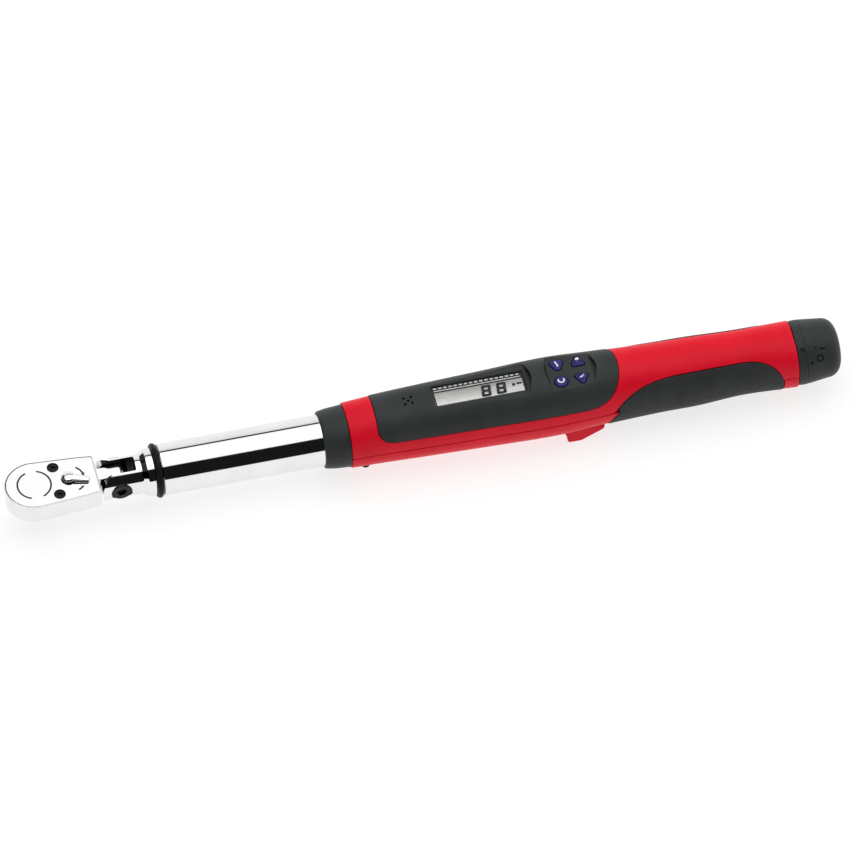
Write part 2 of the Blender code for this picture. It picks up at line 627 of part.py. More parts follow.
def add_beam(parent):
    """Yoke, flange, measuring beam and rear spigot: one machined bar that carries all the load."""
    front = (
        (0, BEAM_START), (LANDING_RADIUS, BEAM_START), (LANDING_RADIUS, RING_X + RING_SEAT_HALF),
        (RING_SEAT_RADIUS, RING_X + RING_SEAT_HALF), (RING_SEAT_RADIUS, RING_X - RING_SEAT_HALF),
        (SHANK_RADIUS, RING_X - RING_SEAT_HALF), (SHANK_RADIUS, SHOULDER_START + 3 * MM),
        (YOKE_RADIUS, SHOULDER_START), (YOKE_RADIUS, 30 * MM), (0, 30 * MM),
    )
    beam = turned("yoke_beam", front, "chrome", parent, axis="X", steps=32)
    nose = arc((PIVOT_X, 0), EAR_NOSE_RADIUS, 270, 90, 16)
    nose = [*nose, (PIVOT_X, 15 * MM), (25 * MM, 15 * MM), (25 * MM, -15 * MM), (PIVOT_X, -15 * MM)]
    cut(beam, "yoke_nose", side_plate_mesh("yoke_nose", nose, -15 * MM, 15 * MM), parent)
    slot = box_mesh("yoke_slot", (20 * MM, -EAR_INNER, -15 * MM), (SLOT_END_X, EAR_INNER, 15 * MM))
    cut(beam, "yoke_slot", slot, parent)
    cut(beam, "yoke_hole",
        cylinder_mesh("yoke_hole", PIVOT_RADIUS + 0.1 * MM, -15 * MM, 15 * MM, "Y"), parent,
        (PIVOT_X, 0, 0))
    for side, (low, high) in enumerate(((-15 * MM, -SPOT_FACE), (SPOT_FACE, 15 * MM)), 1):
        face = cylinder_mesh("spot_face", SPOT_FACE_RADIUS, low, high, "Y", 32)
        cut(beam, f"spot_face_{side}", face, parent, (PIVOT_X, 0, 0))
    rear = (
        (0, SPIGOT_END), (SPIGOT_RADIUS, SPIGOT_END), (SPIGOT_RADIUS, TUBE_END),
        (LANDING_RADIUS, TUBE_END), (LANDING_RADIUS, BEAM_END), (0, BEAM_END),
    )
    boolean(beam, turned("beam_spigot", rear, None, parent, axis="X", steps=28), "UNION")
    bar = box_mesh(
        "beam_bar", (BEAM_START - 1 * MM, -BEAM_HALF_Y, -BEAM_HALF_Z),
        (BEAM_END + 1 * MM, BEAM_HALF_Y, BEAM_HALF_Z),
    )
    join(beam, "beam_bar", bar, parent)
    notch = box_mesh("wire_notch", (BEAM_END - 5 * MM, -2 * MM, 9 * MM), (TUBE_END + 4 * MM, 2 * MM, 14 * MM))
    cut(beam, "wire_notch", notch, parent)
    cut(beam, "beam_pin_hole", cylinder_mesh("beam_pin_hole", 2.1 * MM, -20 * MM, 20 * MM, "Y"),
        parent, (BEAM_PIN_X, 0, 0))
    pin = cylinder_mesh("beam_pin", 2.0 * MM, -HANDLE_TUBE_RADIUS, HANDLE_TUBE_RADIUS, "Y", 16)
    add_object("beam_pin", pin, "steel", parent, (BEAM_PIN_X, 0, 0))
    for i, middle in enumerate((-1, 1), 1):
        inner = middle * (BEAM_HALF_Y + 0.15 * MM)
        outer = middle * (BEAM_HALF_Y + 0.55 * MM)
        gauge = box_mesh(
            "strain_gauge", (88 * MM, min(inner, outer), -3 * MM), (97 * MM, max(inner, outer), 3 * MM)
        )
        add_object(f"strain_gauge_{i}", gauge, "bronze", parent)
    route = [
        (99, -5.4, 4), (104, -5.4, 7), (112, -3, 8.6), (125, 0, 9.6), (140, 0, 10), (155, 0, 10.3),
        (168, 0, 10.4), (178, 0, 10.5), (186, 0, 10.6), (192, 0, 10.6),
    ]
    points = [tuple(value * MM for value in point) for point in route]
    wire("gauge_cable", points, 0.6 * MM, "rubber", parent)


def add_tube(parent):
    ring("outer_tube", TUBE_BORE, TUBE_RADIUS, TUBE_START, TUBE_END, "chrome", parent, axis="X", steps=36)
    torus("tube_ring", 12.6 * MM, 1.7 * MM, "rubber", parent, (RING_X, 0, 0), "X", steps=28)
    end = HOUSING_START - 0.3 * MM
    profile = (
        (16.4 * MM, end), (15.6 * MM, COLLAR_START + 5 * MM), (15.1 * MM, COLLAR_START + 1.2 * MM),
        (14.6 * MM, COLLAR_START + 0.3 * MM), (14.0 * MM, COLLAR_START),
        (TUBE_RADIUS + 0.15 * MM, COLLAR_START), (TUBE_RADIUS + 0.15 * MM, end),
    )
    turned("front_collar", profile, "dark_plastic", parent, axis="X", steps=28)


# ---------------------------------------------------------------- housing


def panel_stations():
    return (
        eased(PANEL_START, PANEL_START + PANEL_CORNER, 5, False) + spaced(203 * MM, PANEL_ROUND_START, 6)
        + eased(PANEL_ROUND_START + 4 * MM, PANEL_END - 0.05 * MM, 7, True)
    )


def add_upper_shell(parent):
    stations = (
        spaced(HOUSING_START, 296 * MM, 9) + eased(305 * MM, 345 * MM, 7, False)
        + [368 * MM, 379 * MM, 386 * MM, 390 * MM, 392 * MM, 393 * MM, 394 * MM, HOUSING_END]
    )

    def limits(x):
        edge = max(grip_edge(x) + 1.3, PARTING) if x < GRIP_END else PARTING
        return edge, 180 - edge

    shell = lofted(
        "upper_shell", stations, limits, skin_radius, lambda x, a: skin_radius(x, a) - WALL, 12,
        "red", parent,
    )
    stretch = (PANEL_END - PANEL_START + 2 * GAP) / (PANEL_END - PANEL_START)
    middle = (PANEL_START + PANEL_END) / 2

    def opening_limits(x):
        edge = panel_edge(middle + (x - middle) / stretch) - 1.0
        return edge, 180 - edge

    opening = lofted(
        "panel_opening", [middle + (x - middle) * stretch for x in panel_stations()], opening_limits,
        lambda x, a: skin_radius(x, a) + 4 * MM, lambda x, a: skin_radius(x, a) - 5 * MM, 12,
        None, parent,
    )
    boolean(shell, opening, "DIFFERENCE")
    places = [(x, side * y) for x, y in ((172.4 * MM, 10.2 * MM), (262 * MM, 12.2 * MM))
              for side in (-1, 1)]
    for i, (x, y) in enumerate(places, 1):
        top = 12.3 * MM if x < PANEL_START else 6.5 * MM
        join(shell, f"boss_{i}", cylinder_mesh("boss", 2.2 * MM, -7 * MM, top, segments=16), parent,
             (x, y, 0))
        if x > PANEL_START:
            outer = math.copysign(18 * MM, y)
            low, high = min(y, outer), max(y, outer)
            web = box_mesh("boss_web", (x - 1 * MM, low, 1 * MM), (x + 1 * MM, high, 5.5 * MM))
            join(shell, f"boss_web_{i}", web, parent)
        cut(shell, f"boss_bore_{i}", cylinder_mesh("boss_bore", 1.3 * MM, -9 * MM, 3 * MM, segments=12),
            parent, (x, y, 0))
    return places


def add_lower_shell(parent, screw_places):
    front = spaced(HOUSING_START, 296 * MM, 8) + [GRIP_START - 0.15 * MM]
    recess = (
        [GRIP_START + 0.15 * MM] + eased(309 * MM, 345 * MM, 6, False)
        + [368 * MM, 379 * MM, 386 * MM, 390 * MM, 392 * MM, 393.2 * MM, 393.7 * MM]
    )
    stations = front + recess + [394 * MM, HOUSING_END]

    def limits(x):
        edge = max(grip_edge(x) - 1.2, -PARTING) if GRIP_START < x < GRIP_END else -PARTING
        return -180 - edge, edge

    def outer(x, angle):
        recessed = GRIP_START < x < 393.9 * MM
        return skin_radius(x, angle) - (GRIP_THICKNESS + 0.5 * MM if recessed else 0)

    def inner(x, angle):
        carries_grip = GRIP_START - 8 * MM < x < 394 * MM
        return skin_radius(x, angle) - WALL - (1.7 * MM if carries_grip else 0)

    shell = lofted("lower_shell", stations, limits, outer, inner, GRIP_SAMPLES, "red", parent, belly_shift)
    foot = [
        (277.2, -14.5), (278.6, -18.5), (279.4, -22.6), (280.8, -24.0), (286.5, -24.0), (288.6, -23.2),
        (298.8, -17.4), (299.2, -13.6), (278.0, -13.6),
    ]
    outline = [(x * MM, z * MM) for x, z in foot]
    join(shell, "foot", side_plate_mesh("foot", outline, -13.2 * MM, 13.2 * MM), parent)
    for i, (x, y) in enumerate(screw_places, 1):
        cut(shell, f"housing_screw_pass_{i}",
            cylinder_mesh("screw_pass", 1.4 * MM, -25 * MM, -5 * MM, segments=12), parent, (x, y, 0))
        cut(shell, f"housing_screw_seat_{i}",
            cylinder_mesh("screw_seat", 2.5 * MM, -30 * MM, -12.3 * MM, segments=16), parent,
            (x, y, 0))
        head = -12.6 * MM
        profile = (
            (0, 2 * MM), (1.1 * MM, 1.5 * MM), (1.1 * MM, head), (2.3 * MM, head),
            (2.3 * MM, head - 1.3 * MM), (0, head - 1.3 * MM),
        )
        screw = turned(f"housing_screw_{i}", profile, "black_steel", parent, (x, y, 0), steps=12)
        socket = cylinder_mesh("screw_socket", 1.1 * MM, -20 * MM, head - 0.6 * MM, segments=6)
        cut(screw, f"housing_screw_socket_{i}", socket, parent, (x, y, 0))


def add_grip(parent):
    stations = (
        [GRIP_START + 0.6 * MM] + eased(309 * MM, 345 * MM, 6, False)
        + [368 * MM, 379 * MM, 386 * MM, 390 * MM, 392 * MM, GRIP_END]
    )
    lofted(
        "rubber_grip", stations,
        lambda x: (-180 - grip_edge(x), grip_edge(x)),
        lambda x, a: skin_radius(x, a) + 0.3 * MM,
        lambda x, a: skin_radius(x, a) - GRIP_THICKNESS,
        GRIP_SAMPLES, "rubber", parent, belly_shift,
    )


def button_outlines():
    """Four button caps around a common centre: two rounded triangles, a shield and a disc."""

    def rounded(corners, radius):
        points = []
        for (x, y), start in corners:
            points += arc((x * MM, y * MM), radius * MM, start, start + 120, 4)
        return points

    up = rounded((((-2.3, -1.7), 150), ((2.3, -1.7), 270), ((0, 2.2), 30)), 1.3)
    down = [(x, -y) for x, y in reversed(up)]
    shield = rounded((((-1.7, 1.2), 90), ((0, -1.6), 210), ((1.7, 1.2), -30)), 2.0)
    disc = arc((0, 0), 3.5 * MM, 0, 345, 23)
    return (
        ("button_down", BUTTON_X[0], BUTTON_Y, shield),
        ("button_up", BUTTON_X[1], BUTTON_Y, up),
        ("button_units", BUTTON_X[0], -BUTTON_Y, disc),
        ("button_power", BUTTON_X[1], -BUTTON_Y, down),
    )


def scaled(outline, grow):
    """The outline pushed out from its own centre by a distance."""
    points = []
    for x, y in outline:
        length = math.hypot(x, y)
        points.append((x * (1 + grow / length), y * (1 + grow / length)))
    return points


def add_panel(parent):
    def inner(x, angle):
        flat = PANEL_UNDERSIDE / max(math.sin(math.radians(angle)), 0.1)
        return min(skin_radius(x, angle) - WALL, flat)

    panel = lofted(
        "display_panel", panel_stations(), lambda x: (panel_edge(x), 180 - panel_edge(x)),
        lambda x, a: skin_radius(x, a) + PANEL_PROUD, inner, 12, "dark_plastic", parent,
    )
    for name, (start, end) in (("display_flat", DISPLAY_FLAT_X), ("keypad_flat", KEYPAD_FLAT_X)):
        flat = box_mesh(name, (start, -20 * MM, PANEL_FLAT), (end, 20 * MM, 30 * MM))
        cut(panel, name, flat, parent)
    for i in range(5):
        reach = SOUND_HOLE_REACH if i < 4 else 0
        angle = math.radians(45 + 90 * i)
        place = (SPEAKER_X + reach * math.cos(angle), reach * math.sin(angle), 0)
        hole = cylinder_mesh("sound_hole", SOUND_HOLE_RADIUS, 10 * MM, 30 * MM, segments=8)
        cut(panel, f"sound_hole_{i + 1}", hole, parent, place)
    for name, x, y, outline in button_outlines():
        hole = plate_mesh(name + "_hole", scaled(outline, GAP), 10 * MM, 30 * MM)
        cut(panel, name + "_hole", hole, parent, (x, y, 0))
        button = plate_mesh(name, outline, BUTTON_FLANGE_LOW, BUTTON_TOP)
        button = add_object(name, button, "button", parent, (x, y, 0))
        flange = plate_mesh(name + "_flange", scaled(outline, 0.9 * MM), BUTTON_FLANGE_LOW,
                            BUTTON_FLANGE_TOP)
        join(button, name + "_flange", flange, parent, (x, y, 0))
    window = box_mesh(
        "window", (WINDOW_X[0], -WINDOW_HALF, 10 * MM), (WINDOW_X[1], WINDOW_HALF, 30 * MM)
    )
    cut(panel, "window", window, parent)


def add_electronics(parent):
    board = box_mesh("main_board", (187 * MM, -9.8 * MM, PCB_LOW), (300 * MM, 9.8 * MM, PCB_HIGH))
    add_object("main_board", board, "circuit", parent)
    mat = box_mesh("keypad_mat", (268 * MM, -9.4 * MM, PCB_HIGH + 0.3 * MM),
                   (298 * MM, 9.4 * MM, BUTTON_FLANGE_LOW - BUTTON_TRAVEL_ROOM))
    add_object("keypad_mat", mat, "rubber", parent)
    module = box_mesh("display_module", (WINDOW_X[0] - 2 * MM, -6.9 * MM, PCB_HIGH + 0.3 * MM),
                      (WINDOW_X[1] + 2 * MM, 6.9 * MM, 16.2 * MM))
    add_object("display_module", module, "display", parent)
    clear = 0.15 * MM
    lens = box_mesh("display_lens", (WINDOW_X[0] + clear, -WINDOW_HALF + clear, PANEL_UNDERSIDE + clear),
                    (WINDOW_X[1] - clear, WINDOW_HALF - clear, PANEL_FLAT - 0.4 * MM))
    add_object("display_lens", lens, "lens", parent)
    buzzer = cylinder_mesh("buzzer", 4.6 * MM, PCB_HIGH + GAP, 16 * MM, segments=20)
    add_object("buzzer", buzzer, "dark_plastic", parent, (SPEAKER_X, 0, 0))


# ---------------------------------------------------------------- handle tube, batteries and cap


def add_handle_tube(parent):
    profile = (
        (PORT_FLANGE_RADIUS, PORT_END), (PORT_FLANGE_RADIUS, PORT_END - 1.6 * MM),
        (PORT_RADIUS, PORT_END - 1.6 * MM),
        (PORT_RADIUS, PORT_START), (HANDLE_TUBE_RADIUS, PORT_START - 3 * MM),
        (HANDLE_TUBE_RADIUS, HANDLE_TUBE_START), (HANDLE_TUBE_BORE, HANDLE_TUBE_START),
        (HANDLE_TUBE_BORE, PORT_START + 1 * MM), (PORT_BORE, PORT_START + 1 * MM), (PORT_BORE, PORT_END),
    )
    tube = turned("handle_tube", profile, "steel", parent, axis="X", steps=28)
    cut(tube, "tube_pin_hole", cylinder_mesh("tube_pin_hole", 2.1 * MM, -20 * MM, 20 * MM, "Y"), parent,
        (BEAM_PIN_X, 0, 0))
    plate = cylinder_mesh("contact_plate", HANDLE_TUBE_BORE - 0.15 * MM, 230.5 * MM, 232.5 * MM, "X")
    add_object("contact_plate", plate, "white_plastic", parent)
    wire("front_contact", coil_points(4.2 * MM, 233.3 * MM, 237.9 * MM, 3, "X", 10), 0.35 * MM, "steel",
         parent)
    for i in range(3):
        start = FIRST_BATTERY_X + i * BATTERY_PITCH
        body = start + 1.2 * MM
        end = start + BATTERY_LENGTH
        profile = (
            (0, end), (BATTERY_RADIUS - 0.6 * MM, end), (BATTERY_RADIUS, end - 0.6 * MM),
            (BATTERY_RADIUS, body + 0.6 * MM), (BATTERY_RADIUS - 0.6 * MM, body), (2.7 * MM, body),
            (2.7 * MM, start), (0, start),
        )
        turned(f"battery_{i + 1}", profile, "battery", parent, axis="X", steps=16)


def add_cap(parent):
    """Battery cap with its spigot and seal, and the contact carrier that it holds."""
    pivot = add_empty("cap_axis", (CAP_START, 0, 0), parent)
    start = pivot.location.x
    spigot_front = 390 * MM - start
    dome = [(15.6 * MM * math.cos(a) ** 0.5, 418 * MM - start + 8.0 * MM * math.sin(a))
            for a in (math.radians(d) for d in (90, 66, 44, 24, 8, 0))]
    dome[0] = (0, CAP_END - start)
    profile = [
        *dome, (16.7 * MM, 409 * MM - start), (17.1 * MM, 404 * MM - start), (16.6 * MM, 0),
        (CAP_SPIGOT_RADIUS, 0), (CAP_SPIGOT_RADIUS, 398 * MM - start),
        (SEAL_GROOVE_RADIUS, 398 * MM - start), (SEAL_GROOVE_RADIUS, 396.6 * MM - start),
        (CAP_SPIGOT_RADIUS, 396.6 * MM - start), (CAP_SPIGOT_RADIUS, spigot_front),
        (CAP_SPIGOT_BORE, spigot_front), (CAP_SPIGOT_BORE, 414 * MM - start), (0, 414 * MM - start),
    ]
    turned("battery_cap", profile, "dark_plastic", pivot, axis="X", steps=28)
    torus("cap_seal", 9.78 * MM, 0.42 * MM, "rubber", pivot, (397.3 * MM - start, 0, 0), "X",
          steps=24, sides=6)
    carrier = (
        (0, 402 * MM), (4 * MM, 402 * MM), (4 * MM, 396 * MM), (8.4 * MM, 396 * MM),
        (8.4 * MM, 394 * MM), (0, 394 * MM),
    )
    turned("contact_carrier", carrier, "white_plastic", parent, axis="X", steps=24)
    wire("cap_spring", coil_points(5.0 * MM, 390.3 * MM, 393.4 * MM, 3, "X", 10), 0.35 * MM, "steel",
         parent)


clear_scene()
PARTS = add_collection("torque_wrench")
CUTTERS = add_collection("cutters")
AXIS = add_empty("tube_axis", (0, 0, AXIS_HEIGHT))
FLEX = add_empty("flex_axis", (PIVOT_X, 0, 0), AXIS)
HEAD = add_empty("head_frame", (-PIVOT_X, 0, 0), FLEX)

add_head(HEAD)
add_drive(HEAD)
add_lever(HEAD)
add_detent(HEAD)
add_flex_joint(AXIS)
add_beam(AXIS)
add_tube(AXIS)
add_lower_shell(AXIS, add_upper_shell(AXIS))
add_panel(AXIS)
add_grip(AXIS)
add_electronics(AXIS)
add_handle_tube(AXIS)
add_cap(AXIS)
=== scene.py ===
"""Looks of the flex-head torque wrench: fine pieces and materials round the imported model.

Lengths are in metres. Every shape below is measured from the tube's axis, and PLACE lifts it to
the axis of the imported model. Angles round the axis run from the near side (-Y) over the top.
"""

import math

import bmesh
import bpy
from mathutils import Matrix, Vector


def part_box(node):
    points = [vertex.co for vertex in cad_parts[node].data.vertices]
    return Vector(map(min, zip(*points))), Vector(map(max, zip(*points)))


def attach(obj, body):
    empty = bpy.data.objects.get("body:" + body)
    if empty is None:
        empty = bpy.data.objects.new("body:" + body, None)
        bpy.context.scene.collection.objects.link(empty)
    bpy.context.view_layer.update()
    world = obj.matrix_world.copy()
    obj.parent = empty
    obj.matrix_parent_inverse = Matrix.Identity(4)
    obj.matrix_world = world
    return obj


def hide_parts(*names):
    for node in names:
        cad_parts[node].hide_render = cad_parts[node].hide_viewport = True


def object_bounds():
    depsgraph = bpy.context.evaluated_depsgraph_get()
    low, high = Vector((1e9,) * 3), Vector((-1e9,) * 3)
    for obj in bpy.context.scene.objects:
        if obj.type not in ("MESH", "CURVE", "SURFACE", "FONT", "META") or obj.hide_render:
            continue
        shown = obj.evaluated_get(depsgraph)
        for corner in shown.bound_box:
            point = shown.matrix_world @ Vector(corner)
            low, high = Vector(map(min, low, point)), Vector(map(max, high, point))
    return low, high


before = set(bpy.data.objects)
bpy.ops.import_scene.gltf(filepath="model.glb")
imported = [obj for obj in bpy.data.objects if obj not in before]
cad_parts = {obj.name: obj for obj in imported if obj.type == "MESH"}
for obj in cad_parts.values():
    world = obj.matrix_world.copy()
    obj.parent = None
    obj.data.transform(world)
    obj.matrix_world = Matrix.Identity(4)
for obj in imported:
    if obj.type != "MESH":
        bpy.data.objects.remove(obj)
CAD_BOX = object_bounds()

MM = 0.001
WAVE_PERIOD = 0.314


def middle_height(node):
    low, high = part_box(node)
    return (low.z + high.z) / 2


PLACE = Vector((0, 0, middle_height("outer_tube")))
FLOOR_Z = CAD_BOX[0].z

# Head
HEAD_RADIUS = 14.7 * MM
NOSE_STRETCH = 1.055
HEAD_TOP = 6.7 * MM
HEAD_BOTTOM = -6.0 * MM
WAIST = (24.0 * MM, 13.0 * MM)
NECK = (33.0 * MM, 12.0 * MM)
PLATE_FLOOR = 4.5 * MM
PLATE_INSET = 0.7 * MM
PLATE_GAP = 0.28 * MM
RING_MARK_RADIUS = 8.7 * MM
SCREW_PLACES = [(11.6 * MM, side * 8.8 * MM) for side in (-1, 1)]
LEVER_X = 18.1 * MM
LEVER_REST = math.radians(-20)
GEAR_TEETH = 72

# Flex joint and tube
PIVOT_X = 44.0 * MM
TANG_HALF = 3.7 * MM
TANG_RADIUS = 6.0 * MM
EAR_INNER = 4.6 * MM
YOKE_RADIUS = 10.4 * MM
EAR_NOSE_RADIUS = 10.0 * MM
SPOT_FACE = 7.6 * MM
SLOT_END_X = 53.0 * MM
SHOULDER_START = 55.5 * MM
SHANK_RADIUS = 12.6 * MM
RING_X = 64.0 * MM
TUBE_START = 66.1 * MM
TUBE_END = 166.0 * MM
TUBE_RADIUS = 13.6 * MM
TUBE_BORE = 12.2 * MM
COLLAR_START = 150.7 * MM

# Housing: x, half width, crown above the axis, belly below the axis, all in millimetres
HOUSING_SECTIONS = (
    (164.5, 16.3, 16.6, 16.3),
    (180.0, 16.6, 18.6, 16.6),
    (206.0, 17.4, 19.8, 17.4),
    (239.0, 18.3, 20.8, 18.3),
    (272.0, 19.0, 22.1, 18.9),
    (298.0, 17.9, 20.9, 17.8),
    (327.0, 16.8, 19.7, 16.6),
    (348.0, 16.7, 19.0, 16.7),
    (373.0, 15.7, 18.0, 15.3),
    (401.5, 16.7, 16.4, 17.1),
)
HOUSING_POWER = 2.3
HOUSING_START = 164.5 * MM
HOUSING_END = 401.5 * MM
WALL = 2.0 * MM
PARTING = 0.5

# Display panel, its flats, the window and the buttons
PANEL_START = 179.0 * MM
PANEL_CORNER = 8.5 * MM
PANEL_ROUND_START = 290.0 * MM
PANEL_END = 308.0 * MM
PANEL_EDGES = (25.0, 21.0)
PANEL_CORNER_ANGLE = 27.0
PANEL_PROUD = 0.3 * MM
PANEL_FLAT = 19.2 * MM
PANEL_UNDERSIDE = 17.3 * MM
WINDOW_X = (210.7 * MM, 259.0 * MM)
WINDOW_HALF = 6.3 * MM
BUTTON_X = (277.3 * MM, 288.3 * MM)
BUTTON_Y = 5.5 * MM
BUTTON_TOP = 20.1 * MM
BUTTON_FLANGE = (15.3 * MM, 16.3 * MM)
SPEAKER_X = 197.4 * MM
SOUND_HOLE_RADIUS = 0.75 * MM
SOUND_HOLE_REACH = 2.7 * MM

# Grip, housing screws and cap
GRIP_START = 305.4 * MM
GRIP_BELLY_START = 300.0 * MM
GRIP_END = 393.4 * MM
GRIP_PEAK = 51.5
GRIP_CREST = (354.9 * MM, 368 * MM)
GRIP_FRONT_LENGTH = 55 * MM
GRIP_FRONT_DROP = 95.0
GRIP_REAR_LENGTH = 25.6 * MM
GRIP_REAR_DROP = 66.0
GRIP_THICKNESS = 1.8 * MM
HOUSING_SCREWS = [(x, side * y) for x, y in ((172.4 * MM, 10.2 * MM), (262 * MM, 12.2 * MM))
                  for side in (-1, 1)]
CAP_START = 401.8 * MM
CAP_END = 426.0 * MM

# Camera
CAMERA_AZIMUTH = -13.1
CAMERA_ELEVATION = 52.3
CAMERA_DISTANCE = 8.0
CAMERA_LENS = 653.0
AIM_X = 207.4 * MM
AIM_DROP = 3.3 * MM


# ---------------------------------------------------------------- material nodes


class Shader:
    """A Principled material under construction, with short calls for the nodes it needs."""

    def __init__(self, name, metallic=0.0):
        self.material = bpy.data.materials.new(name)
        self.material.use_nodes = True
        self.tree = self.material.node_tree
        self.shader = self.tree.nodes["Principled BSDF"]
        self.coords = self.tree.nodes.new("ShaderNodeTexCoord").outputs["Object"]
        self.set("Metallic", metallic)

    def set(self, socket, value):
        self.shader.inputs[socket].default_value = value

    def link(self, source, target):
        self.tree.links.new(source, target)

    def noise(self, size, detail=3.0, stretch=(1, 1, 1)):
        """Noise whose features are about size metres across, drawn out along an axis."""
        mapping = self.tree.nodes.new("ShaderNodeMapping")
        mapping.inputs["Scale"].default_value = [1 / s for s in stretch]
        self.link(self.coords, mapping.inputs["Vector"])
        texture = self.tree.nodes.new("ShaderNodeTexNoise")
        texture.inputs["Scale"].default_value = 1 / size
        texture.inputs["Detail"].default_value = detail
        self.link(mapping.outputs["Vector"], texture.inputs["Vector"])
        return texture.outputs["Fac"]

    def cells(self, size):
        texture = self.tree.nodes.new("ShaderNodeTexVoronoi")
        texture.inputs["Scale"].default_value = 1 / size
        self.link(self.coords, texture.inputs["Vector"])
        return texture.outputs["Distance"]

    def waves(self, pitch, direction, distortion=0.0):
        """Bands at a pitch in metres; at scale 1 the texture repeats every WAVE_PERIOD."""
        texture = self.tree.nodes.new("ShaderNodeTexWave")
        texture.bands_direction = direction
        texture.inputs["Scale"].default_value = WAVE_PERIOD / pitch
        texture.inputs["Distortion"].default_value = distortion
        self.link(self.coords, texture.inputs["Vector"])
        return texture.outputs["Fac"]

    def spread(self, source, low, high, start=0.3, end=0.7):
        """The source's values from start to end, as values from low to high."""
        node = self.tree.nodes.new("ShaderNodeMapRange")
        for name, value in (("From Min", start), ("From Max", end), ("To Min", low), ("To Max", high)):
            node.inputs[name].default_value = value
        self.link(source, node.inputs["Value"])
        return node.outputs["Result"]

    def along(self, axis):
        node = self.tree.nodes.new("ShaderNodeSeparateXYZ")
        self.link(self.coords, node.inputs["Vector"])
        return node.outputs[axis]

    def blend(self, factor, first, second):
        node = self.tree.nodes.new("ShaderNodeMix")
        node.data_type = "RGBA"
        self.link(factor, node.inputs["Factor"])
        node.inputs["A"].default_value = (*first, 1)
        node.inputs["B"].default_value = (*second, 1)
        return node.outputs["Result"]

    def colour(self, source, first, second, start=0.3, end=0.7):
        """A base colour that goes from first to second as the source goes from start to end."""
        factor = self.spread(source, 0, 1, start, end)
        self.link(self.blend(factor, first, second), self.shader.inputs["Base Color"])

    def roughness(self, source, low, high, start=0.3, end=0.7):
        self.link(self.spread(source, low, high, start, end), self.shader.inputs["Roughness"])

    def relief(self, *heights):
        """Bumps, each (source, depth in metres), one on top of the other."""
        normal = None
        for source, depth in heights:
            node = self.tree.nodes.new("ShaderNodeBump")
            node.inputs["Strength"].default_value = 1.0
            node.inputs["Distance"].default_value = depth
            self.link(source, node.inputs["Height"])
            if normal:
                self.link(normal, node.inputs["Normal"])
            normal = node.outputs["Normal"]
        self.link(normal, self.shader.inputs["Normal"])


def chrome_material():
    made = Shader("polished_chrome", 1.0)
    smudge = made.noise(14 * MM, 4)
    scratch = made.noise(0.5 * MM, 2, stretch=(12, 1, 1))
    made.colour(smudge, (0.80, 0.80, 0.805), (0.85, 0.85, 0.85))
    made.roughness(smudge, 0.035, 0.085)
    made.relief((scratch, 0.0004 * MM), (made.noise(6 * MM, 2), 0.003 * MM))
    return made.material


def steel_material():
    made = Shader("ground_steel", 1.0)
    tool_marks = made.noise(0.25 * MM, 3, stretch=(1, 1, 14))
    made.colour(made.noise(3 * MM), (0.42, 0.42, 0.43), (0.58, 0.58, 0.59))
    made.roughness(tool_marks, 0.22, 0.42)
    made.relief((tool_marks, 0.004 * MM))
    return made.material


def black_steel_material():
    made = Shader("black_oxide", 0.8)
    wear = made.noise(1.4 * MM, 5)
    made.colour(wear, (0.016, 0.016, 0.018), (0.11, 0.105, 0.10), 0.55, 0.8)
    made.roughness(wear, 0.28, 0.45)
    made.relief((made.noise(0.12 * MM, 2), 0.006 * MM))
    return made.material


def bronze_material():
    made = Shader("sintered_bronze", 1.0)
    grain = made.cells(0.3 * MM)
    made.colour(grain, (0.36, 0.22, 0.09), (0.60, 0.41, 0.19), 0, 0.5)
    made.roughness(grain, 0.3, 0.5, 0, 0.5)
    made.relief((grain, 0.01 * MM))
    return made.material


def red_material():
    made = Shader("red_moulded_nylon")
    tone = made.noise(22 * MM, 3)
    grain = made.noise(0.28 * MM, 2)
    made.colour(tone, (0.80, 0.006, 0.024), (0.88, 0.008, 0.029))
    made.roughness(made.noise(2.5 * MM, 4), 0.36, 0.48)
    made.set("Specular IOR Level", 0.12)
    made.relief((grain, 0.010 * MM), (made.noise(9 * MM, 2), 0.02 * MM))
    return made.material


def dark_plastic_material():
    made = Shader("charcoal_plastic")
    grain = made.cells(0.42 * MM)
    made.colour(made.noise(16 * MM, 4), (0.030, 0.036, 0.035),
                (0.042, 0.047, 0.046))
    made.roughness(made.noise(1.5 * MM, 4), 0.42, 0.56)
    made.set("Specular IOR Level", 0.18)
    made.relief((grain, 0.016 * MM), (made.noise(0.15 * MM, 2), 0.006 * MM))
    return made.material


def rubber_material():
    made = Shader("soft_grip_rubber")
    grain = made.cells(0.6 * MM)
    made.colour(made.noise(11 * MM, 5), (0.024, 0.027, 0.028),
                (0.036, 0.039, 0.039))
    made.roughness(made.noise(2 * MM, 4), 0.58, 0.74)
    made.set("Specular IOR Level", 0.15)
    made.set("Sheen Weight", 0.12)
    made.set("Sheen Roughness", 0.5)
    made.relief((grain, 0.03 * MM), (made.noise(0.2 * MM, 2), 0.01 * MM))
    return made.material


def seal_material():
    made = Shader("seal_rubber")
    made.colour(made.noise(2 * MM, 4), (0.005, 0.005, 0.006), (0.014, 0.014, 0.015))
    made.set("Specular IOR Level", 0.1)
    made.roughness(made.noise(0.8 * MM, 3), 0.34, 0.5)
    made.relief((made.noise(0.3 * MM, 2), 0.01 * MM))
    return made.material


def lens_material():
    made = Shader("clear_lens")
    made.set("Base Color", (0.05, 0.055, 0.05, 1))
    made.roughness(made.noise(5 * MM, 3), 0.03, 0.07)
    made.set("Alpha", 0.05)
    made.set("IOR", 1.6)
    made.relief((made.noise(8 * MM, 1), 0.004 * MM))
    return made.material


